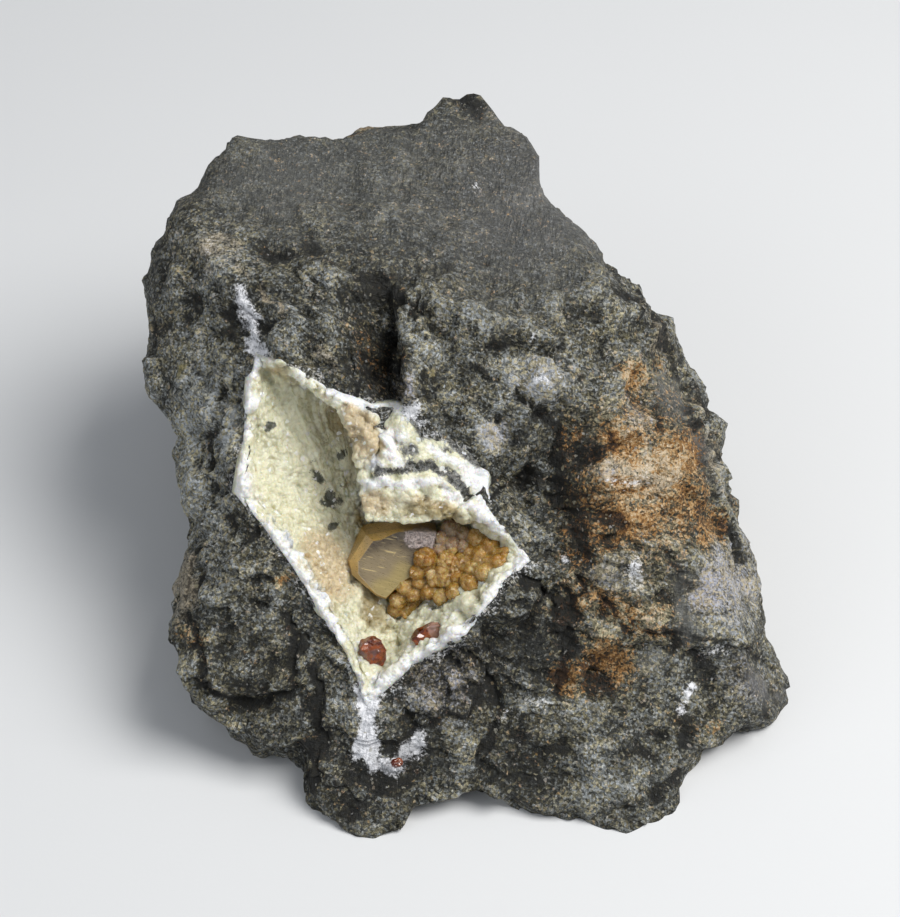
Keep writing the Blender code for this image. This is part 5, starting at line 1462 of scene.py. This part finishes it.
def crystal_finish(values):
    """Smoky clear crystal, honey at its edges and finely grooved, with a skin of mauve grains in one corner."""
    f = Finish("smoky_crystal", IOR=1.9)
    edge, druse, pale, tip = f.masks("crystal")
    cloud = f.noise(2.2, 3.0, 0.6)
    fibre = f.noise(0.12, 2.0, 0.6, f.on_face(9.0, 1.0, 1.0, -20.0))
    hairs = f.noise(0.22, 2.0, 0.6, f.on_face(12.0, 1.0, 4.0, -12.0))
    threads = f.noise(0.20, 2.0, 0.6, f.on_face(1.0, 12.0, 4.0, -34.0))
    smoky = f.laid(values.smoky_colour, values.pale_colour, [(cloud, 0.9), (pale, 0.7)], 0.35, 1.15)
    smoky = f.laid(smoky, values.pale_colour, fibre, 0.48, 0.74, 0.42)
    smoky = f.laid(smoky, values.hair_colour, hairs, 0.62, 0.70, 0.85)
    smoky = f.laid(smoky, values.hair_colour, threads, 0.70, 0.76, 0.5)
    colour = f.laid(smoky, values.tip_colour, tip, 0.2, 0.9, 0.85)
    dark_honey = scaled(values.honey_colour, 0.62)
    honey = f.laid(dark_honey, values.honey_colour, [(cloud, 0.7), (fibre, 0.4)], 0.35, 0.8)
    colour = f.laid(colour, honey, [(edge, 1.0), (cloud, 0.6)], 0.60, 1.1, 0.95)
    grain = f.noise(0.26, 3.0, 0.75)
    skin = f.laid(scaled(values.druse_colour, 0.34), values.druse_colour, grain, 0.38, 0.60)
    drusy = f.eased(f.total([(druse, 1.0), (grain, 1.0)]), 0.85, 1.15)
    colour = f.mix(drusy, colour, skin)
    clear = f.total([(drusy, -0.36), (edge, 0.04)], values.clearness)
    height = f.total([(fibre, 0.35), (hairs, 0.2), (f.times(grain, drusy), 3.0)])
    f.clear_inside(values.inside_colour, values.inside_density)
    roughness = f.total([(drusy, 0.35), (fibre, 0.2)], 0.20)
    normal = f.bump(height, 0.05)
    return f.wire(Base_Color=colour, Transmission_Weight=clear, Roughness=roughness, Normal=normal)


def ball_finish(values):
    """Waxy amber balls, half clear, mauve on some of their tops, paler on their tops as painted light, and
    darkened between them as painted shade.
    """
    f = Finish(
        "amber_mineral", IOR=1.6, Transmission_Weight=0.12, Subsurface_Weight=0.85, Subsurface_Scale=0.0016)
    f.surface.inputs["Subsurface Radius"].default_value = (1.0, 0.55, 0.16)
    shaded_crease, top, mauve, tone = f.masks("balls")
    ragged = f.jogged(0.8, 0.3)
    mottle = f.noise(0.8, 3.0, 0.65)
    grain = f.noise(0.22, 3.0, 0.65)
    # Painted light: the top of each ball is lighter and paler
    shade = f.total([(mottle, 0.8), (tone, 0.55), (top, 0.25)])
    colour = f.laid(values.deep_colour, values.amber_colour, shade, 0.40, 1.15)
    pale = [(top, 0.6), (mottle, 0.8), (tone, 0.35)]
    colour = f.laid(colour, values.pale_colour, pale, 0.85, 1.45, 0.6)
    colour = f.mix(f.times(mauve, 0.75), colour, values.mauve_colour)
    # Painted shade darkens the creases between the balls
    colour = f.mix(f.times(shaded_crease, 0.45), colour, values.crease_shade_colour)
    colour = f.laid(colour, values.pale_colour, grain, 0.58, 0.74, 0.30)
    roughness = f.total([(grain, 0.45)], 0.02)
    height = f.total([(f.facets(0.45, ragged), 1.3), (grain, 0.09), (mottle, 0.12)])
    return f.wire(Base_Color=colour, Roughness=roughness, Normal=f.bump(height, 1.0))


def red_finish(values):
    """Glassy orange-red crystal with darker parts, and pink at one end of the long one."""
    f = Finish("red_mineral", IOR=1.8, Transmission_Weight=0.45)
    pink, _, _, _ = f.masks("gem")
    cloud = f.noise(0.9, 3.0, 0.6)
    colour = f.laid(values.dark_red, values.bright_red, cloud, 0.38, 0.66)
    colour = f.laid(colour, values.pink, [(pink, 1.0), (cloud, 0.8)], 0.75, 1.15, 0.9)
    f.clear_inside((0.9, 0.35, 0.15), 260.0)
    height = f.total([(f.facets(1.1), 0.8), (f.noise(0.3, 2.0, 0.6), 0.03)])
    return f.wire(Base_Color=colour, Roughness=f.total([(cloud, 0.15)], 0.05), Normal=f.bump(height, 1.0))


def floor_finish(values):
    """Matt pale board."""
    f = Finish("pale_floor", Roughness=0.85, Specular_IOR_Level=0.2)
    tint = f.mix(f.noise(40.0, 2.0, 0.5), scaled(values.floor_colour, 0.985), values.floor_colour)
    return f.wire(Base_Color=tint, Normal=f.bump(f.noise(0.6, 2.0, 0.5), 0.01))


def colour(name, description, default):
    """A colour that the panel shows."""
    return FloatVectorProperty(
        name=name, description=description, default=default, size=3, subtype="COLOR", min=0.0, max=1.0)


def length(name, description, default):
    """A length that the panel shows."""
    return FloatProperty(name=name, description=description, default=default, unit="LENGTH")


class RockSettings(bpy.types.PropertyGroup):
    """What the rock is made like."""
    relief: FloatProperty(name="Relief", description="Strength of the finest unevenness", default=1.0, min=0.0)
    grain_size: length("Grain size", "Width of the rock's mineral grains", 0.00030)
    grain_relief: length("Grain relief", "Height of the roughness between grains", 0.0005)
    slab_colour: colour("Slab", "Colour of the smooth slabs", (0.172, 0.176, 0.168))
    warm_tint: colour("Warm tint", "Brown tint of part of the rough rock", (1.0, 0.91, 0.60))
    cool_tint: colour("Cool tint", "Blue-grey tint of the rest", (0.90, 0.96, 1.0))
    lilac_tint: colour("Lilac tint", "Tint of the lilac zones", (0.94, 0.89, 1.0))
    tan_colour: colour("Tan", "Colour of the weathered edges", (0.50, 0.42, 0.30))
    olive_colour: colour("Olive", "Colour of the olive grains", (0.26, 0.22, 0.075))
    vein_colour: colour("Vein", "Colour of the white veins", (0.90, 0.91, 0.95))


class CrustSettings(bpy.types.PropertyGroup):
    """What the crust of the pocket is made like."""
    bead_size: length("Bead size", "Width of the crust's rounded beads", 0.0016)
    bead_height: length("Bead height", "Height of the crust's rounded beads", 0.00085)
    facet_size: length("Facet size", "Width of the crust's tiny crystals", 0.00042)
    cream_colour: colour("Cream", "Main colour of the crust", (0.79, 0.77, 0.585))
    green_colour: colour("Green", "Greenish parts of the crust", (0.66, 0.645, 0.45))
    rim_colour: colour("Rim", "Colour of the bright rim", (0.92, 0.915, 0.89))
    tan_colour: colour("Tan", "Colour of the lip's knobs", (0.68, 0.545, 0.34))
    # Painted shade: the dull honey colour of the hollows, the groove and the parts under the lip
    honey_colour: colour("Honey", "Colour in the crust's hollows", (0.26, 0.19, 0.065))
    spot_colour: colour("Spots", "Colour of the dark spots", (0.030, 0.036, 0.026))


class CrystalSettings(bpy.types.PropertyGroup):
    """What the leadhillite crystal is made like."""
    smoky_colour: colour("Smoky", "Main colour of the crystal", (0.105, 0.075, 0.043))
    pale_colour: colour("Pale", "Colour of its pale fibres", (0.36, 0.28, 0.160))
    hair_colour: colour("Hairs", "Colour of its bright hairlines", (0.90, 0.70, 0.32))
    tip_colour: colour("Tip", "Colour of its lower tip", (0.52, 0.40, 0.15))
    honey_colour: colour("Honey", "Colour of its edges", (0.80, 0.50, 0.13))
    druse_colour: colour("Druse", "Colour of its skin of mauve grains", (0.52, 0.43, 0.40))
    clearness: FloatProperty(name="Clearness", description="Share of light that passes through", default=0.30)
    inside_colour: colour("Inside", "Colour that light keeps inside", (0.85, 0.62, 0.30))
    inside_density: FloatProperty(name="Absorption", description="How fast it takes up light", default=220.0)


class BallSettings(bpy.types.PropertyGroup):
    """What the amber balls are made like."""
    amber_colour: colour("Amber", "Main colour of the balls", (0.49, 0.295, 0.068))
    deep_colour: colour("Deep amber", "Darker parts of the balls", (0.33, 0.165, 0.026))
    # Painted light: the colour that the top of each ball turns
    pale_colour: colour("Pale", "Colour of the pale tops", (0.62, 0.48, 0.25))
    mauve_colour: colour("Mauve", "Colour of the mauve balls", (0.34, 0.25, 0.18))
    # Painted shade: the colour between the balls
    crease_shade_colour: colour("Creases", "Colour between the balls", (0.24, 0.105, 0.013))


class RedSettings(bpy.types.PropertyGroup):
    """What the red crystals are made like."""
    dark_red: colour("Dark red", "Darker parts of the red crystals", (0.13, 0.018, 0.007))
    bright_red: colour("Orange red", "Brighter parts of the red crystals", (0.46, 0.11, 0.022))
    pink: colour("Pink", "Pale parts of the red crystals", (0.62, 0.36, 0.28))


class StageSettings(bpy.types.PropertyGroup):
    """The floor, the lights and the camera."""
    floor_colour: colour("Floor", "Colour of the floor", (0.70, 0.71, 0.72))
    key_power: FloatProperty(name="Key light", description="Power of the main light", default=3.9, unit="POWER")
    fill_power: FloatProperty(
        name="Fill light", description="Power of the side light", default=0.8, unit="POWER")
    sky_strength: FloatProperty(name="Sky", description="Strength of the even light all round", default=0.30)


class LeadhilliteSettings(bpy.types.PropertyGroup):
    """All the settings of the specimen."""
    rings: IntProperty(name="Rings", description="Rings of faces over the rock", default=142, min=20)
    spokes: IntProperty(name="Spokes", description="Faces round the rock", default=610, min=60)
    rock: PointerProperty(type=RockSettings)
    crust: PointerProperty(type=CrustSettings)
    crystal: PointerProperty(type=CrystalSettings)
    balls: PointerProperty(type=BallSettings)
    reds: PointerProperty(type=RedSettings)
    stage: PointerProperty(type=StageSettings)


class BreakRock(bpy.types.Operator):
    """Makes the lump of dark rock with its stains"""
    bl_idname = "leadhillite.break_rock"
    bl_label = "Rock"

    def execute(self, context):
        hole, surface, under = rock_rings(settings().spokes, settings().rings)
        rings = np.concatenate([hole, surface, under])
        points = to_face(rings)
        seen = wandered(seen_at(points), points, PATCH_WANDER)
        shown = shown_share(points)
        weathered = smooth(swell(points, *WEATHERING) * WEATHERED_RANGE + WEATHERED_SHARE)
        weathered = smooth(1.0 - 2.0 * shown) * weathered * WEATHERED_STRENGTH
        stains = np.stack([patch_amount(seen, patches) for patches in STAINS.values()], axis=-1)
        tones = np.stack([patch_amount(seen, patches) for patches in TONES.values()], axis=-1)
        straighter = wandered(seen_at(points), points, PATCH_WANDER[1:])
        for width, strength, line in VEINS:
            stains[..., 2] += strength * band_amount(straighter, width, line)
        dust = np.maximum(beyond_crust(seen), 0.0) / DUST_REACH
        stains[..., 2] += DUST_STRENGTH * np.exp(-dust * dust)
        stains = np.clip(stains, 0.0, 1.0) * shown[..., None]
        tones = tones * shown[..., None]
        stains[..., 0] += weathered * smooth(swell(points, *RUSTY) + RUSTY_SHARE)
        stains[..., 1] += weathered
        height, shaded_crease = fine_parts(points.reshape(-1, 3))
        height, shaded_crease = height.reshape(shown.shape), shaded_crease.reshape(shown.shape)
        plain = np.zeros_like(shaded_crease)
        # Painted shade in the creases and cracks and painted light on the crests, carried in the wear attribute
        shading_amounts = np.stack([shaded_crease, smooth(height / FULL_CREST), plain, plain], axis=-1)
        attributes = {"stains": stains, "tones": tones, "wear": shading_amounts}
        piece = add_surface("broken_rock", rings, attributes, rock_finish(settings().rock))
        wear(piece, "dark_rock", "matrix_rock")
        return {"FINISHED"}


class GrowCrust(bpy.types.Operator):
    """Makes the sparkling crust that lines the pocket"""
    bl_idname = "leadhillite.grow_crust"
    bl_label = "Crust"

    def execute(self, context):
        values = settings().crust
        angle = pocket_directions(CRUST_SPOKES)
        outer = outline_reach(CRUST_EDGE, POCKET_CENTRE, angle)
        rim = face_out(outward(angle, outer))
        stations = np.array(ring_points(front_stations(angle), angle, rim))
        front = curve_through(stations, CRUST_RINGS)
        seen = wandered(seen_at(front), front, CRUST_WANDER)
        normal = -ring_normals(front)
        fade = smooth(np.arange(len(front)) / RELIEF_RINGS)[:, None]
        size, rise = values.bead_size / MM, values.bead_height / MM
        rim_share = 1.0 - smooth(-beyond_crust(seen) / RIM_GLOW)
        rim_share = rim_share * (RIM_LEAST + RIM_VARIES * smooth(swell(front, *RIM_SWELL) + 0.5))
        large = np.clip(LEAST_BEADS + patch_amount(seen, BEAD_PATCHES) + RIM_BEADS * rim_share, 0.0, 1.0)
        bead = beads(front, size, 501) * (1.0 - HALF_BEADS) + beads(front, size * 0.5, 511) * HALF_BEADS
        height = knobs(front) * (LEAST_KNOBS + (1.0 - LEAST_KNOBS) * large)
        height = height + rise * large * (bead - BEAD_LEVEL) * BEAD_SCALE
        height += rise * SMALL_BEAD_HEIGHT * (beads(front, size * SMALL_BEAD_SIZE, 521) - SMALL_BEAD_LEVEL)
        amounts = {name: patch_amount(seen, patches) for name, patches in CRUST_PATCHES.items()}
        for name, bands in LIP_BANDS.items():
            for width, strength, line in bands:
                amounts[name] = np.clip(amounts[name] + strength * band_amount(seen, width, line), 0.0, 1.0)
        height += RIM_LIFT * rim_share
        height += BAND_RISE * (amounts["white"] - amounts["rock"]) * patch_amount(seen, [LIP_AREA])
        front = front + normal * (height * fade)[..., None]
        bright = RIM_WHITE * rim_share * (1.0 - TAN_HOLDS_BACK * amounts["tan"])
        amounts["white"] = np.clip(amounts["white"] + bright, 0.0, 1.0)
        amounts["honey"] = amounts["honey"] * (1.0 - RIM_HONEY * rim_share)
        masks = np.stack([amounts[name] for name in ("white", "honey", "spot", "rock")], axis=-1)
        # Painted shade in the hollows between beads, and with it the tan patches and painted light on the bead
        # tops
        shaded_hollow = smooth((HOLLOW_LEVEL - bead) / HOLLOW_FADE) * large
        shading_amounts = np.stack([amounts["tan"], shaded_hollow, bead * large, np.zeros_like(bead)], axis=-1)
        outside = outward(angle, outer + EDGE_TUCK)
        edge = behind(outside, face_out(outside) - EDGE_TUCK)
        back = np.array(ring_points(back_stations(angle, 0.0), angle, rim))
        rings = np.concatenate([front[::-1], edge[None], back])
        plain = np.zeros((len(back) + 1, len(angle), 4))
        attributes = {
            "crust": np.concatenate([masks[::-1], plain]),
            "crust_tan_and_shading": np.concatenate([shading_amounts[::-1], plain]),
        }
        piece = add_surface("druse_crust", to_world(rings), attributes, crust_finish(values))
        wear(piece, "cream_crust", "vug_crust")
        return {"FINISHED"}


class GrowCrystal(bpy.types.Operator):
    """Makes the smoky leadhillite crystal with its honey-coloured edges"""
    bl_idname = "leadhillite.grow_crystal"
    bl_label = "Leadhillite crystal"

    def execute(self, context):
        corners = np.array(CRYSTAL_TOP) - CRYSTAL_MIDDLE
        step = np.arange(CRYSTAL_EDGE_POINTS) / CRYSTAL_EDGE_POINTS
        edges = [a + (b - a) * step[:, None] for a, b in zip(corners, np.roll(corners, -1, axis=0))]
        outline = np.concatenate(edges)[::-1]
        degrees = np.degrees(np.arctan2(outline[:, 1], outline[:, 0])) % 360.0
        bevel = around(BEVEL_SHARES, degrees)
        bevel_drop = around(BEVEL_DROPS, degrees)
        rings, honey = [], []
        for share in CRYSTAL_TOP_RINGS:
            place = outline * ((1.0 - bevel) * share)[:, None]
            wander = GROOVE_WANDER * swell(behind(place, place[:, 0]), 1.4, 601)
            steps = np.floor(place @ GROOVES_ACROSS * GROOVE_COUNT + wander)
            groove = GROOVE_DEPTH * corner_value(np.stack([steps] * 3, axis=-1), 611)
            rings.append(behind(CRYSTAL_MIDDLE + place, CRYSTAL_OUT + place @ CRYSTAL_SLOPE - groove))
            honey.append(np.zeros(len(outline)))
        for share in CRYSTAL_BEVEL_RINGS:
            place = outline * (1.0 - bevel * (1.0 - share))[:, None]
            out = CRYSTAL_OUT + place @ CRYSTAL_SLOPE - bevel_drop * share
            rings.append(behind(CRYSTAL_MIDDLE + place, out))
            honey.append(np.ones(len(outline)))
        brow = CRYSTAL_OUT + outline @ CRYSTAL_SLOPE - bevel_drop
        for share in CRYSTAL_SIDE_RINGS:
            foot = CRYSTAL_MIDDLE + outline * (1.0 + (CRYSTAL_FLARE - 1.0) * share) + CRYSTAL_LEAN * share
            rings.append(behind(foot, brow - (CRYSTAL_DEPTH - BEVEL_TAKES) * share))
            honey.append(np.full(len(outline), SIDE_HONEY))
        rings, honey = np.array(rings), np.array(honey)
        seen = seen_at(rings)
        druse = patch_amount(wandered(seen, rings, CRUST_WANDER), CRYSTAL_PATCHES["druse"])
        rings[..., 2] += druse * DRUSE_RISE * (beads(rings, DRUSE_BEAD, 621) - DRUSE_LEVEL)
        pale, tip = (patch_amount(seen, CRYSTAL_PATCHES[name]) for name in ("pale", "tip"))
        masks = np.stack([honey, druse, pale, tip], axis=-1)
        finish = crystal_finish(settings().crystal)
        piece = add_surface("smoky_leadhillite", to_world(rings), {"crystal": masks}, finish)
        wear(piece, "smoky_crystal", "leadhillite_crystal")
        return {"FINISHED"}


def ball_list():
    """All the amber balls: the large ones, and small ones on a spiral over the mound that carries them."""
    index = np.arange(SMALL_BALLS) + 0.5
    angle = index * GOLDEN_ANGLE
    share = np.sqrt(index / SMALL_BALLS)
    rise = np.sqrt(np.maximum(1.0 - share * share, 0.0))
    offset = np.column_stack([share * np.cos(angle), share * np.sin(angle), rise]) * BALL_CORE_SIZE
    spread = corner_value(np.column_stack([index, index, index]), 7)
    radius = SMALL_BALL_RADIUS + SMALL_BALL_SPREAD * spread
    return np.vstack([np.array(LARGE_BALLS), np.column_stack([offset + BALL_CORE, radius])])


class GrowBalls(bpy.types.Operator):
    """Makes the cluster of amber balls"""
    bl_idname = "leadhillite.grow_balls"
    bl_label = "Amber balls"

    def execute(self, context):
        direction = all_round(BALL_SPOKES, np.linspace(0.01, 1.0, BALL_RINGS) * BALL_LAST_TILT)
        reach = 1.0 / np.sqrt(((direction / (BALL_CORE_SIZE * BALL_CORE_SHARE)) ** 2).sum(axis=-1))
        second, furthest = reach.copy(), reach.copy()
        top, mauve, tone = np.zeros((3, *reach.shape))
        for number, ball in enumerate(ball_list()):
            away = ball[:3] - BALL_CORE
            along = direction @ away
            inside = along * along - away @ away + ball[3] ** 2
            hit = np.where(inside > 0.0, along + np.sqrt(np.maximum(inside, 0.0)), 0.0)
            point = direction * hit[..., None]
            # How high on its ball each point lies; the finish paints the tops paler as painted light
            height = (point[..., 2] - away[2]) / ball[3]
            nearer = hit > furthest
            second = np.where(nearer, np.maximum(second, furthest), np.maximum(second, hit))
            top = np.where(nearer, height, top)
            mauve = np.where(nearer, float(number in MAUVE_BALLS), mauve)
            tone = np.where(nearer, (number * TONE_STEP) % 1.0, tone)
            furthest = np.maximum(furthest, hit)
            reach = -soft_least(-reach, -hit, BALL_SOFTNESS)
        # The creases between balls dent the surface and carry painted shade in the finish
        shaded_crease = 1.0 - smooth((furthest - second) / BALL_CREASE_WIDTH)
        rough = direction * reach[..., None]
        grains = BALL_GRAIN_HEIGHT * (beads(rough, *BALL_GRAIN) - BALL_GRAIN_LEVEL)
        reach = reach + BALL_CHIP_HEIGHT * chip(rough, *BALL_CHIP) + grains - BALL_CREASE_DEPTH * shaded_crease
        rings = BALL_CORE + direction * reach[..., None]
        masks = np.stack([shaded_crease, top, mauve, tone], axis=-1)
        piece = add_surface("amber_cluster", to_world(rings), {"balls": masks}, ball_finish(settings().balls))
        wear(piece, "amber_mineral", "amber_balls")
        return {"FINISHED"}


class GrowRedCrystals(bpy.types.Operator):
    """Makes the three small red crystals"""
    bl_idname = "leadhillite.grow_red_crystals"
    bl_label = "Red crystals"

    def execute(self, context):
        finish = red_finish(settings().reds)
        direction = all_round(RED_SPOKES, np.linspace(RED_FIRST_TILT, math.pi - RED_FIRST_TILT, RED_RINGS))
        for name, (middle, size, turn) in RED_CRYSTALS.items():
            reach = 1.0 / np.abs(direction).max(axis=-1) * RED_CUBE / 2.0
            for normal in cut_edges():
                offset = (RED_CUBE - RED_BEVEL) / math.sqrt(2.0)
                reach = np.minimum(reach, plane_reach(offset, direction @ normal))
            reach = reach + RED_CHIP_HEIGHT * chip(direction * reach[..., None], *RED_CHIP)
            points = direction * reach[..., None] * np.array(size)
            c, s = cos_sin(turn)
            tipped = points @ np.array([[1.0, 0.0, 0.0], [0.0, c, s], [0.0, -s, c]])
            turned = tipped @ np.array([[c, s, 0.0], [-s, c, 0.0], [0.0, 0.0, 1.0]])
            plain = np.zeros_like(reach)
            pink = smooth(points[..., 0] + 0.4) if name == PINK_ENDED else plain
            masks = {"gem": np.stack([pink, plain, plain, plain], axis=-1)}
            rings = to_world(turned + np.array(middle))
            piece = add_surface(name.replace("crystal", "gem"), rings, masks, finish)
            wear(piece, "red_mineral", name)
        return {"FINISHED"}


def cut_edges():
    """The directions of a cube's twelve cut edges."""
    signs = (-1.0, 1.0)
    flat = [(a, b, 0.0) for a in signs for b in signs]
    flat += [(a, 0.0, b) for a in signs for b in signs]
    flat += [(0.0, a, b) for a in signs for b in signs]
    return [np.array(normal) / math.sqrt(2.0) for normal in flat]


def soft_light(name, power, place, width, tint):
    """A square light panel at a place in metres, facing the middle of the rock's face."""
    lamp = bpy.data.lights.new(name, "AREA")
    lamp.shape = "SQUARE"
    lamp.size = width
    lamp.energy = power
    lamp.color = tint
    panel = bpy.data.objects.new(name, lamp)
    panel.location = place
    panel.rotation_euler = (Vector(FACE_MIDDLE * MM) - Vector(place)).to_track_quat("-Z", "Y").to_euler()
    bpy.context.scene.collection.objects.link(panel)


class SetStage(bpy.types.Operator):
    """Makes the floor, the lights and the camera"""
    bl_idname = "leadhillite.set_stage"
    bl_label = "Stage"

    def execute(self, context):
        values = settings().stage
        scene = bpy.context.scene
        mesh = bpy.data.meshes.new("pale_floor")
        corners = [(x * FLOOR_HALF, y * FLOOR_HALF, 0) for x, y in ((-1, -1), (1, -1), (1, 1), (-1, 1))]
        mesh.from_pydata(corners, [], [(0, 1, 2, 3)])
        mesh.materials.append(floor_finish(values))
        floor = bpy.data.objects.new("pale_floor", mesh)
        scene.collection.objects.link(floor)
        soft_light("key", values.key_power, **KEY_LIGHT)
        soft_light("fill", values.fill_power, **FILL_LIGHT)
        sky = bpy.data.worlds.new("even_light")
        sky.use_nodes = True
        backdrop = sky.node_tree.nodes["Background"]
        backdrop.inputs["Color"].default_value = SKY_COLOUR
        backdrop.inputs["Strength"].default_value = values.sky_strength
        scene.world = sky
        scene.view_settings.view_transform = "Standard"
        lens = bpy.data.cameras.new("camera")
        lens.sensor_fit = "HORIZONTAL"
        lens.angle = 2.0 * math.atan(VIEW_HALF_WIDTH / EYE_DISTANCE)
        lens.clip_start = NEAREST_VIEW
        camera = bpy.data.objects.new("camera", lens)
        camera.location = (FACE_MIDDLE + FACE_OUT * EYE_DISTANCE) * MM
        camera.rotation_euler = Vector(-FACE_OUT).to_track_quat("-Z", "Y").to_euler()
        scene.collection.objects.link(camera)
        scene.camera = camera
        return {"FINISHED"}


class SpecimenPanel(bpy.types.Panel):
    """The specimen's settings and the buttons that make its pieces"""
    bl_idname = "VIEW3D_PT_leadhillite"
    bl_label = "Leadhillite specimen"
    bl_space_type = "VIEW_3D"
    bl_region_type = "UI"
    bl_category = "Specimen"

    def draw(self, context):
        values = context.scene.leadhillite
        for label, group, operator in (
            ("Rock", values.rock, BreakRock), ("Crust", values.crust, GrowCrust),
            ("Crystal", values.crystal, GrowCrystal), ("Balls", values.balls, GrowBalls),
            ("Red crystals", values.reds, GrowRedCrystals), ("Stage", values.stage, SetStage),
        ):
            box = self.layout.box()
            box.label(text=label)
            for name in group.__annotations__:
                box.prop(group, name)
            box.operator(operator.bl_idname)


CLASSES = (
    RockSettings, CrustSettings, CrystalSettings, BallSettings, RedSettings, StageSettings, LeadhilliteSettings,
    BreakRock, GrowCrust, GrowCrystal, GrowBalls, GrowRedCrystals, SetStage, SpecimenPanel,
)


def register():
    for cls in CLASSES:
        bpy.utils.register_class(cls)
    bpy.types.Scene.leadhillite = PointerProperty(type=LeadhilliteSettings)


def unregister():
    del bpy.types.Scene.leadhillite
    for cls in reversed(CLASSES):
        bpy.utils.unregister_class(cls)


def main():
    """Makes the whole specimen in its studio."""
    register()
    bpy.ops.leadhillite.set_stage()
    bpy.ops.leadhillite.break_rock()
    bpy.ops.leadhillite.grow_crust()
    bpy.ops.leadhillite.grow_crystal()
    bpy.ops.leadhillite.grow_balls()
    bpy.ops.leadhillite.grow_red_crystals()


if __name__ == "__main__":
    main()
